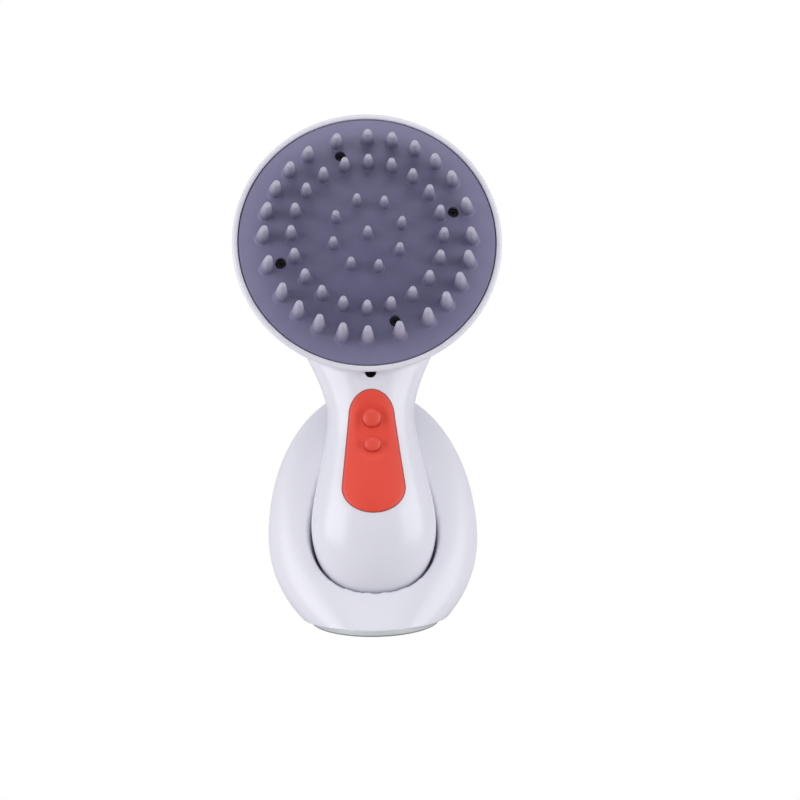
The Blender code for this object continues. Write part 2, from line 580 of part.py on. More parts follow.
def egg_ring(z, shrink, count=32):
    """Return one level ring of the holder's egg, with its half sizes made less by shrink."""
    reach = EGG_ABOVE if z > EGG_LEVEL else EGG_BELOW
    width = EGG_HALF_WIDTH * math.sqrt(max(0.0, 1.0 - ((z - EGG_LEVEL) / reach) ** 2)) - shrink
    top = EGG_LEVEL + EGG_ABOVE
    rounding = math.sqrt(max(0.0, 1.0 - (max(0.0, z - top + EGG_ROUND) / EGG_ROUND) ** 2))
    depth = (EGG_FOOT_DEPTH - EGG_TAPER * z) * rounding - shrink
    middle = Vector((0.0, egg_middle(z), z))
    turns = [2.0 * math.pi * i / count for i in range(count)]
    return [middle + Vector((width * math.cos(a), depth * math.sin(a), 0.0)) for a in turns]


def egg_middle(z):
    """Return how far back the middle of the egg is at a height."""
    return -3.0 * MM + 0.55 * z - 1.5 * z * z


def egg(shrink, floor, top, steps, count=32):
    """Return the egg from a floor level to its top, closer set near the top."""
    rings = []
    for i in range(steps):
        part = math.sin(0.5 * math.pi * i / steps)
        rings.append(egg_ring(floor + (top - floor) * part, shrink, count))
    rings.append([Vector((0.0, egg_middle(top), top))])
    return skin(rings)


def swept_pocket(grow):
    """Return cutters for the handle, grown by a clearance, and the room it needs to lift straight out."""
    rings = handle_rings(grow, 92.0 * MM, 7, 12, 24)
    turn = lean_matrix()
    slices = (rings[:11], rings[10:15], rings[14:])
    return [lifted_hull([turn @ point for ring in part for point in ring]) for part in slices]


def lifted_hull(points):
    """Return the hull of a set of points and of the same points lifted straight up."""
    mesh = bmesh.new()
    for lift in (0.0, LIFT):
        for point in points:
            mesh.verts.new(point + Vector((0.0, 0.0, lift)))
    made = bmesh.ops.convex_hull(mesh, input=mesh.verts)
    inner = {item for item in made["geom_interior"] + made["geom_unused"] if isinstance(item, bmesh.types.BMVert)}
    bmesh.ops.delete(mesh, geom=list(inner), context="VERTS")
    bmesh.ops.dissolve_limit(mesh, angle_limit=0.002, verts=mesh.verts, edges=mesh.edges)
    bmesh.ops.triangulate(mesh, faces=mesh.faces)
    return guide(finished(mesh))


def upright(levels, x=0.0, y=0.0, count=14):
    """Return a turned solid along world z at a place, from (radius, z) levels."""
    rings = []
    for radius, z in levels:
        centre = Vector((x, y, z))
        points = circle(radius, centre, Vector((1, 0, 0)), Vector((0, 1, 0)), count)
        rings.append(points if radius > 0.0 else [centre])
    return skin(rings)


def oval(size, low, high, y=0.0, count=40):
    """Return an upright oval plate."""
    rings = []
    for z in (low, high):
        turns = [2.0 * math.pi * i / count for i in range(count)]
        rings.append([Vector((size[0] * math.cos(a), y + size[1] * math.sin(a), z)) for a in turns])
    return skin(rings)


def stand_shell():
    """Add the holder's shell, hollow from below, with its pocket and screw bosses."""
    top = EGG_LEVEL + EGG_ABOVE
    shell = place("stand_shell", egg(0.0, SHELL_FLOOR, top, 14), "white_plastic")
    hollow = guide(egg(2.4 * MM, SHELL_FLOOR - MM, top - 6.0 * MM, 9, 24))
    combine(hollow, "DIFFERENCE", *swept_pocket(POCKET_GAP + POCKET_WALL))
    for x, y, high in BOSSES:
        combine(hollow, "DIFFERENCE", guide(upright([(3.0 * MM, 0.0), (3.0 * MM, high * MM)], x * MM, y * MM)))
    combine(shell, "DIFFERENCE", hollow, *swept_pocket(POCKET_GAP))
    for x, y, _ in BOSSES:
        seat = [(4.3 * MM, 0.0), (4.3 * MM, 3.9 * MM), (1.4 * MM, 3.9 * MM), (1.4 * MM, 12.0 * MM)]
        combine(shell, "DIFFERENCE", guide(upright(seat, x * MM, y * MM)))
    return shell


def stand_base():
    """Add the foot plate, anti-slip sole, ballast and base screws."""
    plate = place("foot_plate", oval(FOOT_SIZE, 0.8 * MM, 2.0 * MM), "grey_plastic")
    place("antislip_sole", oval(SOLE_SIZE, 0.0, 0.5 * MM), "sole_rubber")
    weight = place("ballast_weight", oval((15.5 * MM, 20.5 * MM), 2.3 * MM, 5.3 * MM), "steel")
    combine(weight, "DIFFERENCE", guide(oval((10.5 * MM, 10.5 * MM), 0.0, 9.0 * MM, -7.5 * MM, 28)))
    for x, y, _ in BOSSES:
        combine(plate, "UNION", guide(upright([(3.8 * MM, 1.5 * MM), (3.8 * MM, 3.6 * MM)], x * MM, y * MM)))
    for i, (x, y, _) in enumerate(BOSSES):
        bore = [(2.5 * MM, 0.0), (2.5 * MM, 2.3 * MM), (1.5 * MM, 2.3 * MM), (1.5 * MM, 6.0 * MM)]
        combine(plate, "DIFFERENCE", guide(upright(bore, x * MM, y * MM)))
        levels = [(0.0, 0.9 * MM), (1.9 * MM, 0.9 * MM), (2.2 * MM, 1.2 * MM), (2.2 * MM, 2.0 * MM)]
        levels += [(1.1 * MM, 2.0 * MM), (1.1 * MM, 10.4 * MM), (0.0, 11.0 * MM)]
        place(f"base_screw_{i + 1}", upright(levels, x * MM, y * MM), "steel")


def main():
    """Build the massager and its holder."""
    clear_scene()
    axes = bpy.data.objects.new("massager_axes", None)
    bpy.context.scene.collection.objects.link(axes)
    axes.matrix_world = lean_matrix()
    front_shell(axes)
    rear_shell(axes)
    head_pieces(axes)
    bristle_pad(axes)
    key_pad(axes)
    button("power", axes, POWER_U, POWER_RADIUS)
    button("mode", axes, MODE_U, MODE_RADIUS)
    inner_pieces(axes)
    motor(axes)
    motor_clamp(axes)
    battery_bay(axes)
    stand_shell()
    stand_base()


main()
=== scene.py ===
"""Looks of a scalp massager brush that stands in its leaning holder.

The massager is modelled upright, x across, z up the handle and -y out of the bristle pad, and each
finished piece is leaned into the holder. The holder is modelled where it stands. Units are metres.
"""

import json
import logging
import math
from collections.abc import Callable, Sequence
from dataclasses import dataclass, field
from enum import Enum

import bmesh
import bpy
from mathutils import Matrix, Vector


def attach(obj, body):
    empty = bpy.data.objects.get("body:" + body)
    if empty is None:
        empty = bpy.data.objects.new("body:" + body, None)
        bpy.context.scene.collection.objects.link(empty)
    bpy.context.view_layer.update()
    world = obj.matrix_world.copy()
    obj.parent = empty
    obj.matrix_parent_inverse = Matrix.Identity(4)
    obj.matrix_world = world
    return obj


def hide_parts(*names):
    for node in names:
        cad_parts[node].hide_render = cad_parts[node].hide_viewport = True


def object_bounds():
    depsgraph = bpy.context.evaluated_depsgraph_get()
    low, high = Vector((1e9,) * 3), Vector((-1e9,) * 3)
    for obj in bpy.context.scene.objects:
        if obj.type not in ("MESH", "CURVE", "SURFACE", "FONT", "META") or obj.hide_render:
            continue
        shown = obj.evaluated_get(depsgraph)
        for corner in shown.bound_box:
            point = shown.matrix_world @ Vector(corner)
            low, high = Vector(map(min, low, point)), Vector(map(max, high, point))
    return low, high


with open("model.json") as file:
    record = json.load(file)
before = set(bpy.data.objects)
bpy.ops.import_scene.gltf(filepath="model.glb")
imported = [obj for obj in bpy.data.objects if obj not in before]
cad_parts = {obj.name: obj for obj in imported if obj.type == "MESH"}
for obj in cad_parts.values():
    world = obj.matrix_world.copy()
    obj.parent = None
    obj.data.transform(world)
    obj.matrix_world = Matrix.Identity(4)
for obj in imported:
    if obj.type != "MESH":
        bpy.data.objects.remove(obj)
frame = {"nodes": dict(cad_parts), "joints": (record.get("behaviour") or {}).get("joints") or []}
CAD_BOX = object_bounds()

MM = 0.001
FULL_TURN = 2.0 * math.pi
OUT = Vector((0.0, -1.0, 0.0))
UP = Vector((0.0, 0.0, 1.0))
log = logging.getLogger("massager")

Colour = tuple[float, float, float]
Pair = tuple[float, float]
Levels = Sequence[Pair]
Outline = Callable[[float], Pair]
Face = Callable[[float, float, float], float]


class Join(Enum):
    """How a tool shapes a piece."""

    ADD = "UNION"
    CUT = "DIFFERENCE"


# Modelling steps


def make_active(piece: bpy.types.Object) -> None:
    """Select one object alone and make it the active one.

    Args:
        piece: The object.
    """
    bpy.ops.object.select_all(action="DESELECT")
    piece.select_set(True)
    bpy.context.view_layer.objects.active = piece


def begin(piece: bpy.types.Object) -> None:
    """Open a piece in edit mode with everything selected.

    Args:
        piece: The piece to edit.
    """
    make_active(piece)
    bpy.ops.object.mode_set(mode="EDIT")
    bpy.ops.mesh.select_mode(type="VERT")
    bpy.ops.mesh.select_all(action="SELECT")


def close(weld: bool = False) -> None:
    """Leave edit mode, and first weld the seams and turn the faces out if asked.

    Args:
        weld: Whether doubles are merged and normals recalculated.
    """
    if weld:
        bpy.ops.mesh.select_all(action="SELECT")
        bpy.ops.mesh.remove_doubles(threshold=0.01 * MM)
        bpy.ops.mesh.normals_make_consistent(inside=False)
    bpy.ops.object.mode_set(mode="OBJECT")


def pick(test: Callable[[Vector], bool]) -> None:
    """Select the vertices of the open mesh whose place passes a test.

    Args:
        test: Says of a place whether its vertex is wanted.
    """
    bpy.ops.mesh.select_all(action="DESELECT")
    mesh = bmesh.from_edit_mesh(bpy.context.object.data)
    for vertex in mesh.verts:
        vertex.select = test(vertex.co)
    mesh.select_flush_mode()
    bmesh.update_edit_mesh(bpy.context.object.data)


def named(name: str) -> bpy.types.Object:
    """Name the object that was just added and return it.

    Args:
        name: The name.

    Returns:
        The object.
    """
    piece = bpy.context.object
    piece.name = name
    return piece


def apply_modifier(piece: bpy.types.Object, kind: str, **settings: object) -> None:
    """Add a modifier to a piece and apply it.

    Args:
        piece: The object to shape.
        kind: The modifier's type.
        settings: The modifier's properties.
    """
    make_active(piece)
    step = piece.modifiers.new(kind.lower(), kind)
    for key, value in settings.items():
        setattr(step, key, value)
    bpy.ops.object.modifier_apply(modifier=step.name)


def combine(piece: bpy.types.Object, tool: bpy.types.Object, way: Join) -> bpy.types.Object:
    """Shape a piece with a tool, which is used up.

    Args:
        piece: The piece to shape.
        tool: The closed mesh that shapes it.
        way: Whether the tool is added or cut away.

    Returns:
        The piece.
    """
    apply_modifier(piece, "BOOLEAN", operation=way.value, object=tool, solver="EXACT")
    bpy.data.objects.remove(tool, do_unlink=True)
    return piece


def copy_of(piece: bpy.types.Object, name: str) -> bpy.types.Object:
    """Return a copy of a piece with a mesh of its own.

    Args:
        piece: The piece to copy.
        name: The copy's name.

    Returns:
        The copy.
    """
    twin = piece.copy()
    twin.data = piece.data.copy()
    twin.name = name
    bpy.context.scene.collection.objects.link(twin)
    return twin


def join(pieces: Sequence[bpy.types.Object]) -> bpy.types.Object:
    """Join pieces into the first of them.

    Args:
        pieces: The pieces to join.

    Returns:
        The first piece, which now holds them all.
    """
    make_active(pieces[0])
    for piece in pieces:
        piece.select_set(True)
    bpy.ops.object.join()
    return pieces[0]


def put(piece: bpy.types.Object, matrix: Matrix) -> bpy.types.Object:
    """Move a piece's mesh by a matrix, its object staying at the origin.

    Args:
        piece: The piece to move.
        matrix: Where its own axes go.

    Returns:
        The piece.
    """
    make_active(piece)
    piece.matrix_world = matrix @ piece.matrix_world
    bpy.ops.object.transform_apply(location=True, rotation=True, scale=True)
    return piece


def smooth(piece: bpy.types.Object, angle: float = 40.0) -> bpy.types.Object:
    """Shade a piece smooth except across its sharp edges.

    Args:
        piece: The piece to shade.
        angle: The least angle of a sharp edge, in degrees.

    Returns:
        The piece.
    """
    make_active(piece)
    bpy.ops.object.shade_smooth_by_angle(angle=math.radians(angle))
    return piece


def soften(piece: bpy.types.Object, voxel: float, passes: int, share: Callable[[Vector], float]) -> None:
    """Rebuild a piece in even faces and relax its edges into fillets.

    Args:
        piece: The piece, a closed mesh.
        voxel: The size of the new faces.
        passes: How often the surface is relaxed.
        share: Gives, from a place, how much of the relaxing it takes.
    """
    apply_modifier(piece, "REMESH", mode="VOXEL", voxel_size=voxel, adaptivity=0.0)
    group = piece.vertex_groups.new(name="relax")
    for vertex in piece.data.vertices:
        group.add([vertex.index], share(vertex.co), "REPLACE")
    apply_modifier(piece, "SMOOTH", factor=0.5, iterations=passes, vertex_group=group.name)
    piece.vertex_groups.clear()


def arc(centre: Pair, radius: float, start: float, end: float, steps: int) -> list[Pair]:
    """Return points along an arc.

    Args:
        centre: The arc's centre.
        radius: Its radius.
        start: Its first direction in degrees.
        end: Its last direction in degrees.
        steps: The number of points less one.

    Returns:
        The points from start to end.
    """
    turns = [math.radians(start + (end - start) * i / steps) for i in range(steps + 1)]
    return [(centre[0] + radius * math.cos(a), centre[1] + radius * math.sin(a)) for a in turns]


def turned(name: str, levels: Levels, axis: Vector, steps: int, closed: bool = False) -> bpy.types.Object:
    """Model a turned piece: draw its profile point by point and spin it.

    Args:
        name: The piece's name.
        levels: The profile as (radius, height) points.
        axis: OUT or UP, the way the heights run.
        steps: The number of faces round it.
        closed: Whether the profile is a loop, as a ring has.

    Returns:
        The piece, with its axis through the origin.
    """
    points = [Vector((radius, 0.0, 0.0)) + axis * height for radius, height in levels]
    bpy.ops.object.select_all(action="DESELECT")
    bpy.ops.mesh.primitive_plane_add(size=MM, location=(0.0, 0.0, 0.0))
    piece = named(name)
    begin(piece)
    bpy.ops.mesh.merge(type="CENTER")
    bpy.ops.transform.translate(value=points[0])
    for before, after in zip(points, points[1:]):
        bpy.ops.mesh.extrude_region_move(TRANSFORM_OT_translate={"value": after - before})
    if closed:
        pick(lambda place: min((place - points[0]).length, (place - points[-1]).length) < 0.001 * MM)
        bpy.ops.mesh.edge_face_add()
    bpy.ops.mesh.select_all(action="SELECT")
    bpy.ops.mesh.spin(steps=steps, angle=FULL_TURN, center=(0.0, 0.0, 0.0), axis=axis)
    close(weld=True)
    return piece


@dataclass(frozen=True)
class Ring:
    """One level ellipse of a loft: its height, half sizes and how far back its centre is."""

    height: float
    width: float
    depth: float
    back: float = 0.0


def loft(name: str, rings: Sequence[Ring], segments: int) -> bpy.types.Object:
    """Model a closed upright body by extruding an ellipse from ring to ring.

    Args:
        name: The piece's name.
        rings: The rings from the lowest to the highest.
        segments: The number of faces round it.

    Returns:
        The piece.
    """
    first = rings[0]
    bpy.ops.object.select_all(action="DESELECT")
    bpy.ops.mesh.primitive_circle_add(vertices=segments, radius=1.0, location=(0.0, 0.0, 0.0))
    piece = named(name)
    begin(piece)
    bpy.ops.transform.resize(value=(first.width, first.depth, 1.0), center_override=(0.0, 0.0, 0.0))
    bpy.ops.transform.translate(value=(0.0, first.back, first.height))
    bpy.ops.mesh.edge_face_add()
    for last, ring in zip(rings, rings[1:]):
        step = (0.0, ring.back - last.back, ring.height - last.height)
        bpy.ops.mesh.extrude_region_move(TRANSFORM_OT_translate={"value": step})
        ratio = (ring.width / last.width, ring.depth / last.depth, 1.0)
        bpy.ops.transform.resize(value=ratio, center_override=(0.0, ring.back, ring.height))
    close(weld=True)
    return piece


def prism(name: str, outline: Outline, near: float, far: float, around: int = 120) -> bpy.types.Object:
    """Model an outline drawn out from front to back.

    Args:
        name: The piece's name.
        outline: Gives the (x, z) point at a part of the way round.
        near: The y of its front end.
        far: The y of its back end.
        around: The number of points round it.

    Returns:
        The piece.
    """
    bpy.ops.object.select_all(action="DESELECT")
    bpy.ops.mesh.primitive_circle_add(vertices=around, radius=1.0, fill_type="NGON", location=(0.0, 0.0, 0.0))
    piece = named(name)
    for i, vertex in enumerate(piece.data.vertices):
        x, z = outline(i / around)
        vertex.co = (x, near, z)
    begin(piece)
    bpy.ops.mesh.extrude_region_move(TRANSFORM_OT_translate={"value": (0.0, far - near, 0.0)})
    close(weld=True)
    return piece


def panel(name: str, outline: Outline, spine: Pair, face: Face, side: float, around: int = 200,
          rows: int = 30) -> bpy.types.Object:
    """Model an open panel that is draped over a curved face.

    A grid runs round the outline and inwards to a spine on the middle line, and each point takes its
    y from the face under it.

    Args:
        name: The piece's name.
        outline: Gives the (x, z) point at a part of the way round.
        spine: The lowest and highest z of the spine.
        face: Gives y from x, z and the distance from the outline.
        side: -1 for a panel that faces the front and 1 for one that faces the back.
        around: The number of faces round the panel.
        rows: The number of faces from the outline to the spine.

    Returns:
        The panel, an open sheet.
    """
    bpy.ops.object.select_all(action="DESELECT")
    bpy.ops.mesh.primitive_grid_add(x_subdivisions=around, y_subdivisions=rows, size=1.0,
                                    location=(0.0, 0.0, 0.0))
    piece = named(name)
    for vertex in piece.data.vertices:
        edge = Vector(outline(vertex.co.x + 0.5))
        middle = Vector((0.0, min(max(edge.y, spine[0]), spine[1])))
        inwards = (vertex.co.y + 0.5) ** 1.7
        place = edge.lerp(middle, inwards)
        vertex.co = (place.x, face(place.x, place.y, inwards * (middle - edge).length), place.y)
    begin(piece)
    close(weld=True)
    if side * sum(polygon.normal.y * polygon.area for polygon in piece.data.polygons) < 0.0:
        begin(piece)
        bpy.ops.mesh.flip_normals()
        close()
    return piece


# Shader maths


class Value:
    """A number, vector or colour that varies over a surface. Arithmetic on it adds Math nodes."""

    def __init__(self, paint: "Paint", socket: bpy.types.NodeSocket) -> None:
        """Wrap a node's output.

        Args:
            paint: The material that the node belongs to.
            socket: The output.
        """
        self.paint = paint
        self.socket = socket

    def __add__(self, other: "Value | float") -> "Value":
        """Return this plus another value."""
        return self.paint.math("ADD", self, other)

    def __radd__(self, other: float) -> "Value":
        """Return a number plus this."""
        return self.paint.math("ADD", other, self)

    def __sub__(self, other: "Value | float") -> "Value":
        """Return this less another value."""
        return self.paint.math("SUBTRACT", self, other)

    def __mul__(self, other: "Value | float") -> "Value":
        """Return this times another value."""
        return self.paint.math("MULTIPLY", self, other)

    def __rmul__(self, other: float) -> "Value":
        """Return a number times this."""
        return self.paint.math("MULTIPLY", other, self)


class Paint:
    """One node material as it is put together."""

    def __init__(self, name: str, **constants: float) -> None:
        """Start a material.

        Args:
            name: The material's name.
            constants: Values set on the shader itself, with _ for a space in a socket's name.
        """
        self.material = bpy.data.materials.new(name)
        self.material.use_nodes = True
        self.tree = self.material.node_tree
        self.shader = self.tree.nodes["Principled BSDF"]
        for key, value in constants.items():
            self.shader.inputs[key.replace("_", " ")].default_value = value
        self.place = Value(self, self.node("ShaderNodeTexCoord", {}, {}).outputs["Object"])

    def node(self, kind: str, settings: dict[str, object],
             sockets: dict[str | int, object]) -> bpy.types.Node:
        """Add a node.

        Args:
            kind: The node's type.
            settings: Its properties, set first.
            sockets: What its inputs take, by name or number, a plain value or a Value to link.

        Returns:
            The node.
        """
        made = self.tree.nodes.new(kind)
        for key, value in settings.items():
            setattr(made, key, value)
        for key, value in sockets.items():
            if isinstance(value, Value):
                self.tree.links.new(value.socket, made.inputs[key])
            else:
                made.inputs[key].default_value = value
        return made

    def math(self, operation: str, first: Value | float, second: Value | float) -> Value:
        """Return the outcome of a Math node on two numbers."""
        made = self.node("ShaderNodeMath", {"operation": operation}, {0: first, 1: second})
        return Value(self, made.outputs[0])

    def vector(self, operation: str, first: Value, second: Value | Sequence[float]) -> Value:
        """Return the outcome of a Vector Math node, a number for a dot product and else a vector."""
        made = self.node("ShaderNodeVectorMath", {"operation": operation}, {0: first, 1: second})
        return Value(self, made.outputs["Value" if operation == "DOT_PRODUCT" else "Vector"])

    def noise(self, scale: float, detail: float = 2.0, stretch: Sequence[float] = (1.0, 1.0, 1.0)) -> Value:
        """Return a cloudy pattern.

        Args:
            scale: How many clouds there are in a metre.
            detail: How many finer layers it has.
            stretch: How much closer the clouds lie along each axis.

        Returns:
            A number from 0 to 1, mostly near a half.
        """
        place = self.vector("MULTIPLY", self.place, stretch)
        sockets = {"Vector": place, "Scale": scale, "Detail": detail, "Roughness": 0.55}
        return Value(self, self.node("ShaderNodeTexNoise", {}, sockets).outputs[0])

    def between(self, value: Value, low: float, high: float) -> Value:
        """Return a soft step from 0 where a value is low to 1 where it is high.

        Args:
            value: The value.
            low: Where the step starts.
            high: Where the step ends.

        Returns:
            A number from 0 to 1.
        """
        sockets = {"Value": value, "From Min": low, "From Max": high}
        made = self.node("ShaderNodeMapRange", {"interpolation_type": "SMOOTHSTEP"}, sockets)
        return Value(self, made.outputs[0])

    def mix(self, part: Value, first: Colour | Value, second: Colour | Value) -> Value:
        """Return the first colour where part is 0 and the second where it is 1.

        Args:
            part: How much of the second colour there is.
            first: The first colour.
            second: The second colour.

        Returns:
            The mixed colour.
        """
        pair = [value if isinstance(value, Value) else (*value, 1.0) for value in (first, second)]
        made = self.node("ShaderNodeMix", {"data_type": "RGBA"}, {0: part, 6: pair[0], 7: pair[1]})
        return Value(self, made.outputs[2])

    def finish(self, colour: Value, roughness: Value, relief: Value, depth: float) -> bpy.types.Material:
        """Link the shader and return the material.

        Args:
            colour: The base colour.
            roughness: The roughness.
            relief: The height of the surface's fine relief, from 0 to 1.
            depth: The relief's full depth in metres.

        Returns:
            The material.
        """
        bump = self.node("ShaderNodeBump", {}, {"Height": relief, "Distance": depth, "Strength": 1.0})
        links = {"Base Color": colour.socket, "Roughness": roughness.socket, "Normal": bump.outputs[0]}
        for key, socket in links.items():
            self.tree.links.new(socket, self.shader.inputs[key])
        return self.material


@dataclass(frozen=True)
class Moulded:
    """A moulded plastic or rubber: cloudy in colour and gloss, with a fine grain.

    Colours are linear, scales are in clouds or grains per metre, and the grain's depth is in metres.
    """

    name: str
    colour: Colour
    shade: Colour
    gloss: Pair
    grain: float
    depth: float
    clouds: float = 45.0
    constants: dict[str, float] = field(default_factory=dict)

    def material(self) -> bpy.types.Material:
        """Return the finish as a material.

        Returns:
            The material.
        """
        paint = Paint(self.name, **self.constants)
        cloud = paint.between(paint.noise(self.clouds, 3.0), 0.3, 0.7)
        wear = paint.between(paint.noise(5.0 * self.clouds, 4.0), 0.35, 0.75)
        grain = paint.noise(self.grain, 2.0)
        roughness = self.gloss[0] + (self.gloss[1] - self.gloss[0]) * (0.6 * wear + 0.4 * grain)
        return paint.finish(paint.mix(cloud, self.colour, self.shade), roughness, grain, self.depth)


@dataclass(frozen=True)
class Silicone:
    """The bristle pad's soft silicone. Its colour holds painted light: it is painted paler towards the pad's
    edge and towards the tips of its bristles, standing in for the light that these catch.
    """

    name: str
    colour: Colour
    shade: Colour
    # Painted light: the pale colour that the bristles are painted towards their tips.
    tip: Colour
    centre: Vector
    out: Vector
    crown: float
    curve: float
    # Painted light: the pad's face is painted towards this paler colour near its edge, fading in between the
    # two radii below.
    edge: Colour = (0.19, 0.18, 0.30)
    painted_edge_span: Pair = (26.0 * MM, 50.0 * MM)
    # Painted light: the height above the dome over which the bristles are painted towards the tip colour.
    reach: float = 11.0 * MM

    def material(self) -> bpy.types.Material:
        """Return the finish as a material.

        Returns:
            The material.
        """
        paint = Paint(self.name, Subsurface_Weight=0.08, Subsurface_Scale=2.0 * MM, Sheen_Weight=0.12,
                      Sheen_Roughness=0.4)
        away = paint.vector("SUBTRACT", paint.place, self.centre)
        level = paint.vector("DOT_PRODUCT", away, self.out)
        spread = paint.vector("DOT_PRODUCT", away, away) - level * level
        height = level - self.crown + spread * (0.5 / self.curve)
        # Painted light: paler up the bristles towards their tips, standing in for the light they catch.
        painted_tip_light = paint.between(height, 0.4 * MM, self.reach)
        cloud = paint.between(paint.noise(70.0, 3.0), 0.3, 0.7)
        grain = paint.noise(2600.0, 2.0)
        base = paint.mix(cloud, self.colour, self.shade)
        # Painted light: paler towards the pad's edge, standing in for the lamps' light on the dome's sloping
        # rim.
        base = paint.mix(paint.between(spread, self.painted_edge_span[0] ** 2, self.painted_edge_span[1] ** 2), base, self.edge)
        return paint.finish(paint.mix(painted_tip_light, base, self.tip), 0.40 + 0.12 * grain, grain, 0.012 * MM)


@dataclass(frozen=True)
class Metal:
    """A drawn or turned metal with fine lines along one axis."""

    name: str
    colour: Colour
    shade: Colour
    gloss: Pair = (0.22, 0.42)
    metallic: float = 1.0
    stretch: tuple[float, float, float] = (1.0, 1.0, 0.06)

    def material(self) -> bpy.types.Material:
        """Return the finish as a material.

        Returns:
            The material.
        """
        paint = Paint(self.name, Metallic=self.metallic)
        lines = paint.noise(2400.0, 3.0, self.stretch)
        cloud = paint.between(paint.noise(160.0, 3.0), 0.35, 0.7)
        roughness = self.gloss[0] + (self.gloss[1] - self.gloss[0]) * lines
        return paint.finish(paint.mix(cloud, self.colour, self.shade), roughness, lines, 0.006 * MM)


@dataclass(frozen=True)
class Banded:
    """A finish in two colours, the second in level bands up the massager: cell wraps and board tracks."""

    name: str
    colour: Colour
    band: Colour
    up: Vector
    pitch: float
    share: float
    gloss: float = 0.35

    def material(self) -> bpy.types.Material:
        """Return the finish as a material.

        Returns:
            The material.
        """
        paint = Paint(self.name)
        level = paint.vector("DOT_PRODUCT", paint.place, self.up) * (1.0 / self.pitch)
        part = paint.math("FRACT", level, 0.0)
        band = paint.between(part, 1.0 - self.share, 1.04 - self.share)
        grain = paint.noise(900.0, 2.0)
        colour = paint.mix(band, self.colour, self.band)
        return paint.finish(colour, self.gloss + 0.1 * grain, grain, 0.01 * MM)


# The massager's own axes and shape


def joint(name: str) -> dict:
    """Return a joint of the frame by its name."""
    return next(item for item in frame["joints"] if item["name"] == name)


@dataclass(frozen=True)
class Lean:
    """How the massager leans: read from the motor's axis and the way a key is pressed."""

    motor_height: float = 137.0 * MM
    motor_out: float = 1.5 * MM

    def up(self) -> Vector:
        """Return the way up the handle."""
        return Vector(joint("motor_spin")["axis"]).normalized()

    def out(self) -> Vector:
        """Return the way out of the bristle pad."""
        return -Vector(joint("power_press")["axis"]).normalized()

    def matrix(self) -> Matrix:
        """Return the place of the upright massager's axes in the holder.

        Returns:
            The matrix from the upright massager to its place.
        """
        motor = Vector(joint("motor_spin")["pos_m"])
        foot = motor - self.up() * self.motor_height - self.out() * self.motor_out
        turn = Matrix((Vector((1.0, 0.0, 0.0)), -self.out(), self.up())).transposed()
        return Matrix.Translation(foot) @ turn.to_4x4()


@dataclass(frozen=True)
class Course:
    """A measure that changes smoothly up the handle, through stations in millimetres."""

    stations: tuple[Pair, ...]

    def at(self, height: float) -> float:
        """Return the measure at a height.

        Args:
            height: The place up the handle, in metres.

        Returns:
            The measure there, in metres.
        """
        points, place = self.stations, height / MM
        last = len(points) - 1
        span = max(i for i in range(last) if i == 0 or points[i][0] <= place)
        (u0, v0), (u1, v1) = points[span], points[span + 1]
        before, after = points[max(span - 1, 0)], points[min(span + 2, last)]
        slope0 = (v1 - before[1]) / (u1 - before[0]) if span else 0.0
        slope1 = (after[1] - v0) / (after[0] - u0)
        t, length = (place - u0) / (u1 - u0), u1 - u0
        rise = v0 * (2 * t**3 - 3 * t**2 + 1) + v1 * (3 * t**2 - 2 * t**3)
        return (rise + length * (slope0 * (t**3 - 2 * t**2 + t) + slope1 * (t**3 - t**2))) * MM


@dataclass(frozen=True)
class Handle:
    """The handle: an elliptical lower end, a waist and a neck that widens into the head."""

    bulb: float = 30.0 * MM
    neck_end: float = 113.0 * MM
    widths: Course = Course(
        ((30, 23.3), (40, 22.1), (52, 19.5), (64, 17.1), (74, 16.5), (84, 19.0), (94, 23.5), (113, 34)))
    fronts: Course = Course(
        ((30, 19.1), (40, 18.1), (52, 16.0), (64, 14.1), (74, 13.6), (84, 13.6), (94, 12.0), (113, 8.5)))
    backs: Course = Course(
        ((30, 19.1), (40, 18.1), (52, 16.0), (64, 14.1), (74, 13.4), (90, 13.0), (103, 11.0), (113, 8.0)))

    def ring(self, height: float, grow: float = 0.0, scale: float = 1.0) -> Ring:
        """Return one level section, grown by a thickness and scaled about the middle line.

        Args:
            height: The section's height.
            grow: The thickness that it is grown by.
            scale: Its scale about the middle line.

        Returns:
            The section.
        """
        measured = max(height, self.bulb)
        front, back = self.fronts.at(measured) + grow, self.backs.at(measured) + grow
        width = (self.widths.at(measured) + grow) * scale
        return Ring(height, width, 0.5 * (front + back) * scale, 0.5 * (back - front) * scale)

    def rings(self, grow: float, top: float, low: float = 0.0, step: float = 1.6 * MM) -> list[Ring]:
        """Return the sections from a low to a top height.

        Args:
            grow: The thickness that the handle is grown by.
            top: The highest section's height.
            low: The lowest section's height, with 0 for the handle's own lower end.
            step: The height between sections of the neck.

        Returns:
            The sections.
        """
        rings = []
        bulb_steps = 22
        for i in range(1, bulb_steps):
            turn = 0.5 * math.pi * (i / bulb_steps) ** 1.3
            height = self.bulb - (self.bulb + grow) * math.cos(turn)
            if height >= low or low == 0.0:
                rings.append(self.ring(height, grow, math.sin(turn)))
        start = max(low, self.bulb)
        count = max(2, round((top - start) / step))
        rings += [self.ring(start + (top - start) * i / count, grow) for i in range(count + 1)]
        return rings

    def face(self, x: float, height: float, grow: float, side: float) -> float:
        """Return the y of the surface at a place.

        Args:
            x: The place across.
            height: The place up the handle.
            grow: How far above the surface.
            side: -1 for the front and 1 for the back.

        Returns:
            The y of the surface there.
        """
        ring = self.ring(height, grow) if height > self.bulb else self.low_ring(height, grow)
        return ring.back + side * ring.depth * math.sqrt(max(0.0, 1.0 - (x / ring.width) ** 2))

    def low_ring(self, height: float, grow: float) -> Ring:
        """Return a section of the elliptical lower end by its height."""
        turn = math.acos(min(1.0, (self.bulb - height) / (self.bulb + grow)))
        return self.ring(height, grow, math.sin(turn))


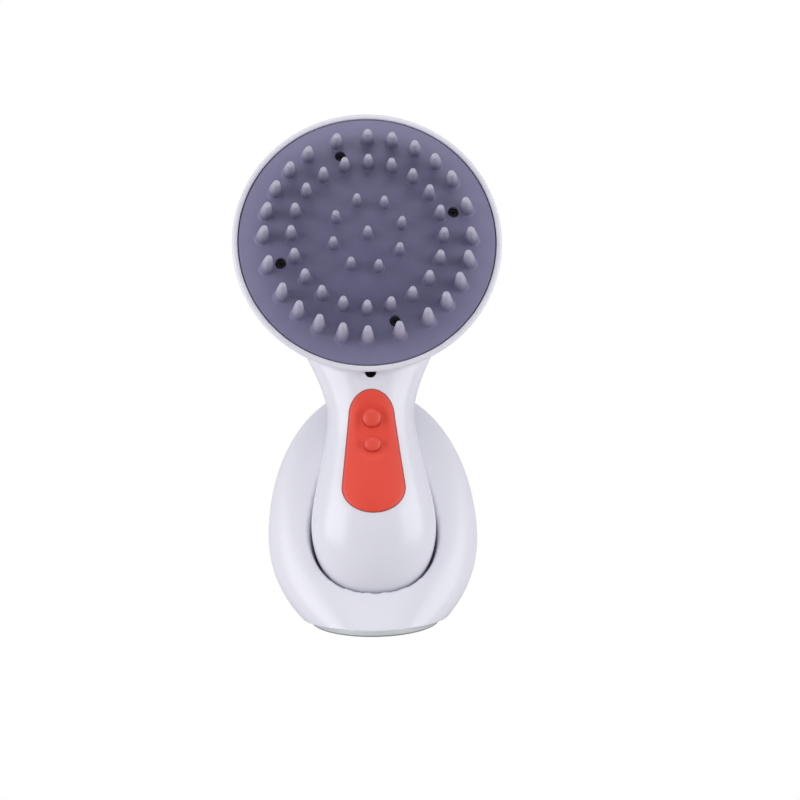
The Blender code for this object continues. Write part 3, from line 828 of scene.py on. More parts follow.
@dataclass(frozen=True)
class KeyLayout:
    """Where the key pad and its two buttons are: half widths and heights of its two round ends."""

    low: float = 41.6 * MM
    low_size: Pair = (11.6 * MM, 10.0 * MM)
    high: float = 69.2 * MM
    high_size: Pair = (8.4 * MM, 9.7 * MM)
    power: Pair = (67.8 * MM, 3.45 * MM)
    mode: Pair = (57.6 * MM, 3.15 * MM)
    mode_squash: float = 0.88
    arc_share: float = 0.3

    def squashed(self, height: float) -> Matrix:
        """Return where a button's own round shape goes: the mode button is a little flattened."""
        squash = self.mode_squash if height == self.mode[0] else 1.0
        return Matrix.Translation(UP * height) @ Matrix.Diagonal((1.0, 1.0, squash, 1.0))

    def outline(self, grow: float) -> Outline:
        """Return the teardrop outline grown by a margin.

        Args:
            grow: The margin.

        Returns:
            The outline, as points by their part of the way round.
        """

        def point(part: float) -> Pair:
            """Return the outline's point at a part of the way round.

            Args:
                part: The part of the way round.

            Returns:
                The (x, z) point.
            """
            part %= 1.0
            low_x, low_z = self.low_size[0] + grow, self.low_size[1] + grow
            high_x, high_z = self.high_size[0] + grow, self.high_size[1] + grow
            if part < self.arc_share:
                a = math.pi * (1.0 + part / self.arc_share)
                return low_x * math.cos(a), self.low + low_z * math.sin(a)
            if part < 0.5:
                t = (part - self.arc_share) / (0.5 - self.arc_share)
                return low_x + (high_x - low_x) * t, self.low + (self.high - self.low) * t
            if part < 0.5 + self.arc_share:
                a = math.pi * (part - 0.5) / self.arc_share
                return high_x * math.cos(a), self.high + high_z * math.sin(a)
            t = (part - 0.5 - self.arc_share) / (0.5 - self.arc_share)
            return -high_x - (low_x - high_x) * t, self.high + (self.low - self.high) * t

        return point


@dataclass(frozen=True)
class DoorLayout:
    """The battery door's outline on the back of the handle, a slab with round corners."""

    half: float = 12.0 * MM
    low: float = 13.0 * MM
    high: float = 67.5 * MM
    squareness: float = 0.36
    screw: float = 16.0 * MM

    def outline(self, grow: float) -> Outline:
        """Return the slab's outline grown by a margin.

        Args:
            grow: The margin.

        Returns:
            The outline, as points by their part of the way round.
        """
        middle, reach = 0.5 * (self.low + self.high), 0.5 * (self.high - self.low) + grow

        def point(part: float) -> Pair:
            """Return the outline's point at a part of the way round.

            Args:
                part: The part of the way round.

            Returns:
                The (x, z) point.
            """
            cosine, sine = math.cos(FULL_TURN * part), math.sin(FULL_TURN * part)
            x = math.copysign(abs(cosine) ** self.squareness, cosine) * (self.half + grow)
            return x, middle + math.copysign(abs(sine) ** self.squareness, sine) * reach

        return point


# The massager's pieces


@dataclass(frozen=True)
class Casing:
    """The white casing: a bowl and a handle blended into each other, parted along a seam."""

    handle: Handle
    keys: KeyLayout
    door: DoorLayout
    head: float = 136.0 * MM
    bowl_radius: float = 52.3 * MM
    bowl_depth: float = 36.5 * MM
    bowl_level: float = 24.0 * MM
    bowl_front: float = 14.0 * MM
    rim_seat: float = 10.0 * MM
    rim_shoulder: float = 15.9 * MM
    rim_gap: float = 0.25 * MM
    wall: float = 2.2 * MM
    seam: float = 0.15 * MM
    seat: float = 1.2 * MM
    gap: float = 0.2 * MM
    neck_hole: Pair = (85.5 * MM, 2.15 * MM)
    voxel: float = 0.85 * MM
    passes: int = 60
    blend_height: float = 99.0 * MM
    blend_reach: float = 17.0 * MM
    blend_front: float = 11.0 * MM
    blend_fade: float = 7.0 * MM
    blend_least: float = 0.22

    def bowl_width(self, level: float) -> float:
        """Return the bowl's radius at a level out of the pad."""
        part = (self.bowl_level - level) / self.bowl_depth
        return self.bowl_radius * math.sqrt(max(0.0, 1.0 - part * part))

    def blank(self) -> bpy.types.Object:
        """Return the whole casing as one solid with a soft blend under the head.

        Returns:
            The casing.
        """
        casing = loft("casing", self.handle.rings(0.0, self.handle.neck_end), 112)
        steps = 36
        end = math.acos((self.bowl_level - self.bowl_front) / self.bowl_depth)
        levels = [(0.0, self.bowl_level - self.bowl_depth)]
        for i in range(1, steps + 1):
            level = self.bowl_level - self.bowl_depth * math.cos(end * i / steps)
            levels.append((self.bowl_width(level), level))
        bowl = turned("bowl", levels + [(0.0, self.bowl_front)], OUT, 128)
        combine(casing, put(bowl, Matrix.Translation(UP * self.head)), Join.ADD)
        soften(casing, self.voxel, self.passes, self.blend)
        return casing

    def blend(self, place: Vector) -> float:
        """Return how much of the smoothing a place takes, most at the sides and back of the neck.

        Args:
            place: A place on the casing.

        Returns:
            Its share, from 0 to 1.
        """
        near = max(0.0, 1.0 - abs(place.z - self.blend_height) / self.blend_reach)
        behind = min(1.0, max(0.0, (place.y + self.blend_front) / self.blend_fade))
        return self.blend_least + (1.0 - self.blend_least) * near * behind

    def half(self, blank: bpy.types.Object, name: str, front: bool) -> bpy.types.Object:
        """Return one half of the casing with its wall.

        Args:
            blank: The whole casing, which is left as it is.
            name: The half's name.
            front: Whether it is the half with the keys.

        Returns:
            The half.
        """
        shell = copy_of(blank, name)
        begin(shell)
        level = -self.seam if front else self.seam
        bpy.ops.mesh.bisect(plane_co=(0.0, level, 0.0), plane_no=(0.0, 1.0, 0.0), clear_outer=front,
                            clear_inner=not front)
        close()
        apply_modifier(shell, "SOLIDIFY", thickness=self.wall, offset=-1.0, use_even_offset=False)
        return shell

    def front(self, blank: bpy.types.Object) -> bpy.types.Object:
        """Return the front half with its key seat, button holes, neck hole and room for the rim.

        Args:
            blank: The whole casing.

        Returns:
            The front half.
        """
        shell = self.half(blank, "front_casing", True)
        tool = prism("seat", self.keys.outline(self.gap), -30.0 * MM, -3.0 * MM)
        combine(tool, loft("floor", self.handle.rings(-self.seat, 95.0 * MM), 96), Join.CUT)
        for height, radius in (self.keys.power, self.keys.mode):
            combine(tool, self.bore(height, radius + self.gap, 5.0 * MM), Join.ADD)
        combine(shell, tool, Join.CUT)
        room = turned("room", self.rim_room(), OUT, 160)
        combine(shell, put(room, Matrix.Translation(UP * self.head)), Join.CUT)
        combine(shell, self.bore(*self.neck_hole, 5.0 * MM), Join.CUT)
        return smooth(shell, 35.0)

    def rim_room(self) -> list[Pair]:
        """Return the profile of the room for the rim, which follows the rim's side at a small gap.

        Returns:
            The profile as (radius, level) points.
        """
        steps = 10
        profile = [(0.0, self.rim_seat)]
        for i in range(steps + 1):
            level = self.rim_seat + (self.rim_shoulder - self.rim_seat) * i / steps
            profile.append((self.bowl_width(level) + self.rim_gap, level))
        return profile + [(profile[-1][0], 40.0 * MM), (0.0, 40.0 * MM)]

    def bore(self, height: float, radius: float, low: float) -> bpy.types.Object:
        """Return a round tool through the front at a height."""
        tool = turned("bore", [(0.0, low), (radius, low), (radius, 35.0 * MM), (0.0, 35.0 * MM)], OUT, 40)
        return put(tool, Matrix.Translation(UP * height))

    def rear(self, blank: bpy.types.Object) -> bpy.types.Object:
        """Return the rear half with the opening for the battery door.

        Args:
            blank: The whole casing.

        Returns:
            The rear half.
        """
        shell = self.half(blank, "rear_casing", False)
        combine(shell, prism("opening", self.door.outline(self.gap), 5.0 * MM, 40.0 * MM, 160), Join.CUT)
        return smooth(shell, 35.0)


@dataclass(frozen=True)
class Bristles:
    """One circle of bristles: its radius, turns from a screw in degrees, and the bristles' own sizes."""

    circle: float
    turns: tuple[float, ...]
    length: float
    base: float
    tip: float
    inwards: float

    def one(self) -> bpy.types.Object:
        """Return one upright bristle with a flared root and a round tip.

        Returns:
            The bristle, with its root at the origin.
        """
        root, sunk = 0.8 * MM, 0.8 * MM
        shoulder = self.length - self.tip
        levels = [(0.0, -sunk), (self.base + root, -sunk)]
        levels += arc((self.base + root, root), root, 270.0, 180.0, 5)
        for i in range(1, 7):
            part = i / 6
            levels.append((self.base - (self.base - self.tip) * part**1.35, root + (shoulder - root) * part))
        levels += arc((0.0, shoulder), self.tip, 0.0, 84.0, 6)[1:] + [(0.0, self.length)]
        return turned("bristle", levels, UP, 22)


@dataclass(frozen=True)
class Head:
    """The rim ring and the crowned silicone pad with its bristles."""

    casing: Casing
    rim_front: float = 17.0 * MM
    rim_inner: float = 48.9 * MM
    rim_low: float = 10.3 * MM
    ledge: float = 12.8 * MM
    ledge_inner: float = 46.5 * MM
    pad_radius: float = 48.6 * MM
    crown: float = 23.0 * MM
    curve: float = 185.0 * MM
    pad_wall: float = 3.0 * MM
    screw_circle: float = 34.0 * MM
    screw_turn: float = 16.2
    hole: float = 2.1 * MM
    outer_turns: tuple[float, ...] = (0.0, 17.6, 31.3, 45.0, 58.7, 72.4)

    def circles(self) -> list[Bristles]:
        """Return the circles of bristles from the middle out.

        Returns:
            The circles.
        """
        eight = tuple(45.0 * i for i in range(8))
        twenty = tuple(18.0 * i for i in range(20))
        outer = tuple(90.0 * quarter + turn for quarter in range(4) for turn in self.outer_turns)
        return [
            Bristles(0.0, (0.0,), 8.5 * MM, 1.95 * MM, 1.15 * MM, 0.0),
            Bristles(13.4 * MM, eight, 8.5 * MM, 1.95 * MM, 1.15 * MM, 0.0),
            Bristles(28.6 * MM, twenty, 10.0 * MM, 2.25 * MM, 1.25 * MM, 0.02),
            Bristles(39.5 * MM, outer, 12.0 * MM, 2.5 * MM, 1.35 * MM, 0.11),
        ]

    def front(self, radius: float) -> float:
        """Return the level of the pad's face at a radius."""
        return self.crown - radius * radius / (2.0 * self.curve)

    def rim(self) -> bpy.types.Object:
        """Return the white ring round the pad, which carries the bowl's curve on to a round lip.

        Returns:
            The ring.
        """
        shoulder, lip = self.casing.rim_shoulder, 1.05 * MM
        steps = 9
        levels = []
        for i in range(steps + 1):
            level = self.rim_low + (shoulder - self.rim_low) * i / steps
            levels.append((self.casing.bowl_width(level), level))
        outer = levels[-1][0]
        levels += arc((outer - lip, self.rim_front - lip), lip, 8.0, 90.0, 7)
        levels += arc((self.rim_inner + 0.45 * MM, self.rim_front - 0.45 * MM), 0.45 * MM, 90.0, 180.0, 5)
        levels += [(self.rim_inner, self.ledge), (self.ledge_inner, self.ledge),
                   (self.ledge_inner, self.rim_low)]
        ring = turned("head_ring", levels, OUT, 160, closed=True)
        return smooth(put(ring, Matrix.Translation(UP * self.casing.head)), 38.0)

    def pad(self) -> bpy.types.Object:
        """Return the pad: a dome with four screw holes and every bristle.

        Returns:
            The pad.
        """
        back = [(44.8 * MM * i / 12, self.front(44.8 * MM * i / 12) - self.pad_wall) for i in range(13)]
        skirt = [(46.4 * MM, 14.3 * MM), (48.3 * MM, 14.3 * MM), (self.pad_radius, 14.6 * MM)]
        edge = arc((self.pad_radius - 0.8 * MM, self.front(47.8 * MM) - 0.8 * MM), 0.8 * MM, 0.0, 82.0, 6)
        face = [(47.4 * MM * (1.0 - i / 32), self.front(47.4 * MM * (1.0 - i / 32))) for i in range(33)]
        pad = turned("silicone_pad", back + skirt + edge + face, OUT, 160)
        for quarter in range(4):
            a = math.radians(self.screw_turn + 90.0 * quarter)
            levels = [(0.0, 8.0 * MM), (self.hole, 8.0 * MM), (self.hole, 30.0 * MM), (0.0, 30.0 * MM)]
            tool = turned("hole", levels, OUT, 40)
            place = Vector((self.screw_circle * math.cos(a), 0.0, self.screw_circle * math.sin(a)))
            combine(pad, put(tool, Matrix.Translation(place)), Join.CUT)
        pieces = [pad]
        for circle in self.circles():
            first = circle.one()
            for turn in circle.turns:
                bristle = copy_of(first, "bristle")
                self.root(bristle, circle, math.radians(self.screw_turn + turn))
                pieces.append(bristle)
            bpy.data.objects.remove(first, do_unlink=True)
        return smooth(put(join(pieces), Matrix.Translation(UP * self.casing.head)), 40.0)

    def root(self, bristle: bpy.types.Object, circle: Bristles, turn: float) -> None:
        """Stand a bristle on the dome: its root follows the dome and its tip leans inwards.

        Args:
            bristle: The upright bristle, at the origin.
            circle: The circle that it belongs to.
            turn: Its direction from the pad's centre.
        """
        ray = Vector((math.cos(turn), math.sin(turn)))
        centre = ray * circle.circle
        for vertex in bristle.data.vertices:
            x, z, height = vertex.co
            place = centre + Vector((x, z)) - ray * (circle.inwards * max(0.0, height))
            follow = 1.0 - min(1.0, max(0.0, (height - 0.9 * MM) / (2.5 * MM)))
            level = height + follow * self.front(place.length) + (1.0 - follow) * self.front(circle.circle)
            vertex.co = (place.x, -level, place.y)


@dataclass(frozen=True)
class Keys:
    """The red key pad with its shallow dish, and its two domed buttons."""

    handle: Handle
    layout: KeyLayout
    proud: float = 0.7 * MM
    edge: float = 0.9 * MM
    thickness: float = 1.5 * MM
    dish: float = 0.75 * MM
    dish_reach: Pair = (3.9 * MM, 6.6 * MM)
    gap: float = 0.12 * MM
    dome: float = 1.5 * MM
    wall: float = 2.2 * MM

    def relief(self, x: float, height: float, inwards: float) -> float:
        """Return how far the key pad's face stands above the handle at a place.

        Args:
            x: The place across.
            height: The place up the handle.
            inwards: The distance from the pad's outline.

        Returns:
            The height above the handle.
        """
        drop = self.edge - min(inwards, self.edge)
        rounding = self.edge - math.sqrt(self.edge**2 - drop**2)
        nearest = min(max(height, self.layout.mode[0]), self.layout.power[0])
        away = math.hypot(x, height - nearest)
        part = min(1.0, max(0.0, (away - self.dish_reach[0]) / (self.dish_reach[1] - self.dish_reach[0])))
        return self.proud - rounding - self.dish * (1.0 - part * part * (3.0 - 2.0 * part))

    def pad(self) -> bpy.types.Object:
        """Return the key pad, draped over the handle and pierced for its buttons.

        Returns:
            The key pad.
        """
        spine = (self.layout.low, self.layout.high)
        pad = panel("key_mat", self.layout.outline(0.0), spine,
                    lambda x, z, inwards: self.handle.face(x, z, self.relief(x, z, inwards), -1.0), -1.0)
        apply_modifier(pad, "SOLIDIFY", thickness=self.thickness, offset=-1.0, use_even_offset=False)
        for height, radius in (self.layout.power, self.layout.mode):
            hole = radius + self.gap
            levels = [(0.0, 5.0 * MM), (hole, 5.0 * MM), (hole, 30.0 * MM), (0.0, 30.0 * MM)]
            tool = turned("hole", levels, OUT, 48)
            combine(pad, put(tool, self.layout.squashed(height)), Join.CUT)
        return smooth(pad, 40.0)

    def button(self, name: str, place: Pair) -> bpy.types.Object:
        """Return a domed button with the flange that holds it in the casing.

        Args:
            name: The button's name.
            place: Its height up the handle and its radius.

        Returns:
            The button.
        """
        height, radius = place
        surface = -self.handle.face(0.0, height, 0.0, -1.0)
        flange_top = surface - self.wall - 1.5 * MM
        flange = radius + 0.9 * MM
        levels = [(0.0, flange_top - 0.8 * MM), (flange, flange_top - 0.8 * MM), (flange, flange_top)]
        level = surface + self.proud + 0.1 * MM
        levels += [(radius, flange_top), (radius, level - 0.5 * MM)]
        steps = 14
        for i in range(steps):
            a = 0.5 * math.pi * i / steps
            levels.append((radius * math.cos(a) ** 0.92, level + self.dome * math.sin(a)))
        levels.append((0.0, level + self.dome))
        return smooth(put(turned(name, levels, OUT, 64), self.layout.squashed(height)), 50.0)


@dataclass(frozen=True)
class BatteryDoor:
    """The battery door in the back of the handle, with finger grooves and a countersunk screw hole."""

    handle: Handle
    layout: DoorLayout
    wall: float = 2.2 * MM
    edge: float = 0.35 * MM
    grooves: tuple[float, float, float] = (56.0 * MM, 63.0 * MM, 1.75 * MM)
    groove_half: float = 7.0 * MM
    groove_depth: float = 0.5 * MM

    def relief(self, x: float, height: float, inwards: float) -> float:
        """Return how far the door's face stands above the handle's back at a place.

        Args:
            x: The place across.
            height: The place up the handle.
            inwards: The distance from the door's outline.

        Returns:
            The height above the handle's back, below it in the grooves.
        """
        drop = self.edge - min(inwards, self.edge)
        rounding = self.edge - math.sqrt(self.edge**2 - drop**2)
        low, high, pitch = self.grooves
        if not (low < height < high and abs(x) < self.groove_half):
            return -rounding
        wave = 0.5 * self.groove_depth * (1.0 - math.cos(FULL_TURN * (height - low) / pitch))
        return -rounding - wave * (1.0 - (x / self.groove_half) ** 4)

    def piece(self) -> bpy.types.Object:
        """Return the door.

        Returns:
            The door.
        """
        spine = (self.layout.low + self.layout.half, self.layout.high - self.layout.half)
        door = panel("battery_cover", self.layout.outline(0.0), spine,
                     lambda x, z, inwards: self.handle.face(x, z, self.relief(x, z, inwards), 1.0), 1.0)
        apply_modifier(door, "SOLIDIFY", thickness=self.wall, offset=-1.0, use_even_offset=False)
        levels = [(0.0, -30.0 * MM), (2.3 * MM, -30.0 * MM), (2.3 * MM, -15.9 * MM), (1.5 * MM, -15.9 * MM),
                  (1.5 * MM, -5.0 * MM), (0.0, -5.0 * MM)]
        tool = put(turned("bore", levels, OUT, 40), Matrix.Translation(UP * self.layout.screw))
        return smooth(combine(door, tool, Join.CUT), 40.0)


# The holder


@dataclass(frozen=True)
class Holder:
    """The holder: an egg that leans back, with a pocket for the handle, on an oval foot."""

    handle: Handle
    lean: Matrix
    level: float = 30.0 * MM
    width: float = 39.8 * MM
    below: float = 38.5 * MM
    above: float = 54.5 * MM
    foot_depth: float = 30.0 * MM
    taper: float = 0.3
    round_top: float = 24.5 * MM
    floor: float = 2.3 * MM
    wall: float = 2.4 * MM
    pocket_gap: float = 1.0 * MM
    pocket_wall: float = 2.0 * MM
    lift: float = 100.0 * MM
    slices: tuple[float, ...] = (0.0, 47.0 * MM, 58.0 * MM, 69.5 * MM, 81.0 * MM, 92.0 * MM)
    bosses: tuple[tuple[float, float, float], ...] = (
        (-19.8 * MM, 4.0 * MM, 40.0 * MM), (19.8 * MM, 4.0 * MM, 40.0 * MM), (0.0, 24.3 * MM, 14.0 * MM))
    foot_size: Pair = (24.5 * MM, 32.0 * MM)
    foot_levels: Pair = (0.5 * MM, 2.3 * MM)
    sole_size: Pair = (24.0 * MM, 31.5 * MM)
    sole_levels: Pair = (0.0, 0.5 * MM)
    voxel: float = 0.72 * MM
    passes: int = 24
    least_relaxed: float = 0.85

    def section(self, height: float, shrink: float) -> Ring:
        """Return one level section of the egg.

        Args:
            height: The section's height.
            shrink: The wall that it is made less by.

        Returns:
            The section.
        """
        reach = self.above if height > self.level else self.below
        width = self.width * math.sqrt(max(0.0, 1.0 - ((height - self.level) / reach) ** 2)) - shrink
        near_top = max(0.0, height - self.level - self.above + self.round_top) / self.round_top
        depth = (self.foot_depth - self.taper * height) * math.sqrt(max(0.0, 1.0 - near_top**2)) - shrink
        return Ring(height, width, depth, -3.0 * MM + 0.55 * height - 1.5 * height * height)

    def egg(self, low: float, high: float, shrink: float, steps: int, segments: int) -> bpy.types.Object:
        """Return the egg between two levels, with sections closer together near its top."""
        levels = [low + (high - low) * math.sin(0.5 * math.pi * i / steps) for i in range(steps + 1)]
        return loft("egg", [self.section(level, shrink) for level in levels], segments)

    def swept(self, grow: float, low: float, high: float) -> bpy.types.Object:
        """Return the room that a slice of the leaning handle sweeps as it is lifted out.

        Args:
            grow: The clearance round the handle.
            low: The slice's lower end, up the handle.
            high: The slice's upper end.

        Returns:
            The room, a closed convex tool.
        """
        near = put(loft("slice", self.handle.rings(grow, high, low, 3.0 * MM), 96), self.lean)
        far = put(copy_of(near, "lifted"), Matrix.Translation(UP * self.lift))
        room = join([near, far])
        begin(room)
        bpy.ops.mesh.convex_hull(delete_unused=True, use_existing_faces=False, make_holes=False)
        close(weld=True)
        return room

    def pocketed(self, piece: bpy.types.Object, grow: float) -> bpy.types.Object:
        """Cut the handle's pocket from a piece.

        Args:
            piece: The piece to cut.
            grow: The clearance round the handle.

        Returns:
            The piece.
        """
        for low, high in zip(self.slices, self.slices[1:]):
            combine(piece, self.swept(grow, low, high), Join.CUT)
        return piece

    def post(self, place: tuple[float, float, float], levels: Levels) -> bpy.types.Object:
        """Return an upright turned tool at the place of a screw boss."""
        return put(turned("post", levels, UP, 32), Matrix.Translation(Vector((place[0], place[1], 0.0))))

    def relaxed(self, place: Vector) -> float:
        """Return how much of the smoothing a place of the shell takes, all of it near the top."""
        return min(1.0, max(self.least_relaxed, (place.z - self.level) / self.level))

    def shell(self) -> bpy.types.Object:
        """Return the white shell, hollow from below, with a soft roll into its pocket.

        Returns:
            The shell.
        """
        top = self.level + self.above
        shell = self.pocketed(self.egg(-4.0 * MM, top - 0.02 * MM, 0.0, 64, 128), self.pocket_gap)
        shell.name = "holder_shell"
        soften(shell, self.voxel, self.passes, self.relaxed)
        begin(shell)
        bpy.ops.mesh.bisect(plane_co=(0.0, 0.0, self.floor), plane_no=(0.0, 0.0, 1.0), clear_inner=True,
                            use_fill=True)
        close()
        hollow = self.egg(self.floor - MM, top - 6.0 * MM, self.wall, 24, 64)
        self.pocketed(hollow, self.pocket_gap + self.pocket_wall)
        for place in self.bosses:
            levels = [(0.0, 0.0), (3.0 * MM, 0.0), (3.0 * MM, place[2]), (0.0, place[2])]
            combine(hollow, self.post(place, levels), Join.CUT)
        combine(shell, hollow, Join.CUT)
        levels = [(0.0, 0.0), (4.3 * MM, 0.0), (4.3 * MM, 3.9 * MM), (1.4 * MM, 3.9 * MM),
                  (1.4 * MM, 12.0 * MM), (0.0, 12.0 * MM)]
        combine(shell, join([self.post(place, levels) for place in self.bosses]), Join.CUT)
        return smooth(shell, 35.0)

    def oval(self, name: str, size: Pair, levels: Pair, edge: float) -> bpy.types.Object:
        """Return an oval plate with rounded edges.

        Args:
            name: The plate's name.
            size: Its half sizes across and front to back.
            levels: Its underside and its top.
            edge: The radius of its edges.

        Returns:
            The plate.
        """
        bpy.ops.object.select_all(action="DESELECT")
        middle = (0.0, 0.0, 0.5 * (levels[0] + levels[1]))
        bpy.ops.mesh.primitive_cylinder_add(vertices=160, radius=1.0, depth=levels[1] - levels[0],
                                            location=middle)
        plate = put(named(name), Matrix.Identity(4))
        begin(plate)
        bpy.ops.transform.resize(value=(size[0], size[1], 1.0), center_override=middle)
        close()
        apply_modifier(plate, "BEVEL", width=edge, segments=4, limit_method="ANGLE",
                       angle_limit=math.radians(50.0))
        return plate

    def foot(self) -> bpy.types.Object:
        """Return the grey foot plate with its three screw bosses and counterbores.

        Returns:
            The foot plate.
        """
        plate = self.oval("foot", self.foot_size, self.foot_levels, 0.3 * MM)
        for place in self.bosses:
            boss = [(0.0, 1.4 * MM), (3.8 * MM, 1.4 * MM), (3.8 * MM, 3.6 * MM), (0.0, 3.6 * MM)]
            combine(plate, self.post(place, boss), Join.ADD)
            bore = [(0.0, 0.0), (2.5 * MM, 0.0), (2.5 * MM, 2.3 * MM), (1.5 * MM, 2.3 * MM),
                    (1.5 * MM, 6.0 * MM), (0.0, 6.0 * MM)]
            combine(plate, self.post(place, bore), Join.CUT)
        return smooth(plate, 35.0)

    def sole(self) -> bpy.types.Object:
        """Return the thin rubber sole."""
        return smooth(self.oval("sole", self.sole_size, self.sole_levels, 0.15 * MM), 35.0)


# Finishes


class Finish(Enum):
    """The finishes of the object's pieces."""

    CASING = "casing white"
    HOLDER = "holder white"
    SILICONE = "pad silicone"
    KEYS = "key rubber"
    BUTTONS = "button rubber"
    FOOT = "foot grey"
    SOLE = "sole rubber"
    INNER = "inner grey"
    DARK = "dark plastic"
    # Painted shade: the screws in the pad's holes and the neck hole are painted near-black, so that their
    # shallow holes show dark.
    STEEL = "bright steel"
    BLACKENED = "hole shade black steel"
    BRASS = "brass"
    BALLAST = "cast ballast"
    BOARD = "circuit board"
    CELL = "cell wrap"


def finishes(lean: Lean, head: Head) -> dict[Finish, bpy.types.Material]:
    """Return every finish as a material.

    Args:
        lean: The massager's lean, which some patterns follow.
        head: The head, whose dome the silicone's painted light follows.

    Returns:
        The materials by finish.
    """
    centre = lean.matrix() @ (UP * head.casing.head)
    white, white_shade = (0.735, 0.73, 0.80), (0.725, 0.722, 0.792)
    recipes = {
        Finish.CASING: Moulded("casing_white", white, white_shade, (0.22, 0.27), 2600.0, 0.002 * MM, 14.0),
        Finish.HOLDER: Moulded("holder_white", white, white_shade, (0.27, 0.32), 2600.0, 0.002 * MM, 12.0),
        # The silicone's third colour is painted light on the bristle tips.
        Finish.SILICONE: Silicone("pad_silicone", (0.134, 0.126, 0.226), (0.122, 0.115, 0.211),
                                  (0.42, 0.41, 0.52), centre, lean.out(), head.crown, head.curve),
        Finish.KEYS: Moulded("key_rubber", (0.77, 0.060, 0.032), (0.74, 0.055, 0.028), (0.42, 0.56), 2400.0,
                             0.012 * MM),
        Finish.BUTTONS: Moulded("button_rubber", (0.76, 0.072, 0.044), (0.73, 0.066, 0.039), (0.40, 0.52),
                                2400.0, 0.010 * MM),
        Finish.FOOT: Moulded("foot_grey", (0.58, 0.60, 0.61), (0.55, 0.57, 0.58), (0.30, 0.42), 1200.0,
                             0.008 * MM),
        Finish.SOLE: Moulded("sole_rubber", (0.34, 0.36, 0.36), (0.29, 0.31, 0.31), (0.70, 0.85), 1500.0,
                             0.05 * MM),
        Finish.INNER: Moulded("inner_grey", (0.30, 0.31, 0.32), (0.26, 0.27, 0.28), (0.40, 0.55), 1400.0,
                              0.012 * MM),
        Finish.DARK: Moulded("dark_plastic", (0.022, 0.022, 0.024), (0.03, 0.03, 0.033), (0.35, 0.5), 1400.0,
                             0.010 * MM),
        Finish.STEEL: Metal("bright_steel", (0.60, 0.60, 0.61), (0.50, 0.50, 0.52)),
        # Painted shade: near-black steel for the screws, so that their shallow holes look dark.
        Finish.BLACKENED: Metal("hole_shade_black_steel", (0.012, 0.012, 0.013), (0.02, 0.018, 0.018), (0.45, 0.65),
                                0.4),
        Finish.BRASS: Metal("brass", (0.72, 0.53, 0.24), (0.62, 0.44, 0.18)),
        Finish.BALLAST: Metal("cast_ballast", (0.30, 0.30, 0.31), (0.22, 0.22, 0.23), (0.45, 0.7)),
        Finish.BOARD: Banded("circuit_board", (0.02, 0.14, 0.055), (0.05, 0.25, 0.10), lean.up(), 1.6 * MM,
                             0.35),
        Finish.CELL: Banded("cell_wrap", (0.07, 0.09, 0.12), (0.55, 0.42, 0.20), lean.up(), 44.5 * MM, 0.16,
                            0.25),
    }
    return {finish: recipe.material() for finish, recipe in recipes.items()}


INNER_FINISHES = {
    Finish.INNER: ("pad_carrier", "motor_clamp"),
    Finish.DARK: ("pad_gasket", "power_plunger", "mode_plunger", "motor_lead"),
    Finish.STEEL: ("power_switch", "mode_switch", "motor_can", "motor_shaft", "clamp_screw_1",
                   "clamp_screw_2", "battery_door_screw", "base_screw_1", "base_screw_2", "base_screw_3"),
    # Painted shade: these screws are painted near-black so that the holes they sit in look dark.
    Finish.BLACKENED: ("neck_screw", "pad_screw_1", "pad_screw_2", "pad_screw_3", "pad_screw_4"),
    Finish.BRASS: ("eccentric_weight", "contact_plate_lower", "contact_plate_upper"),
    Finish.BALLAST: ("ballast_weight",),
    Finish.BOARD: ("switch_board",),
    Finish.CELL: ("battery_cell_1", "battery_cell_2"),
}


# The studio


@dataclass(frozen=True)
class Softbox:
    """A large square lamp that points at the object."""

    name: str
    place: tuple[float, float, float]
    size: float
    power: float
    aim: tuple[float, float, float] = (0.0, 0.0, 0.09)

    def hang(self) -> None:
        """Add the lamp."""
        bpy.ops.object.light_add(type="AREA", location=self.place)
        lamp = named(self.name)
        lamp.data.size = self.size
        lamp.data.energy = self.power
        lamp.rotation_euler = (Vector(self.aim) - Vector(self.place)).to_track_quat("-Z", "Y").to_euler()


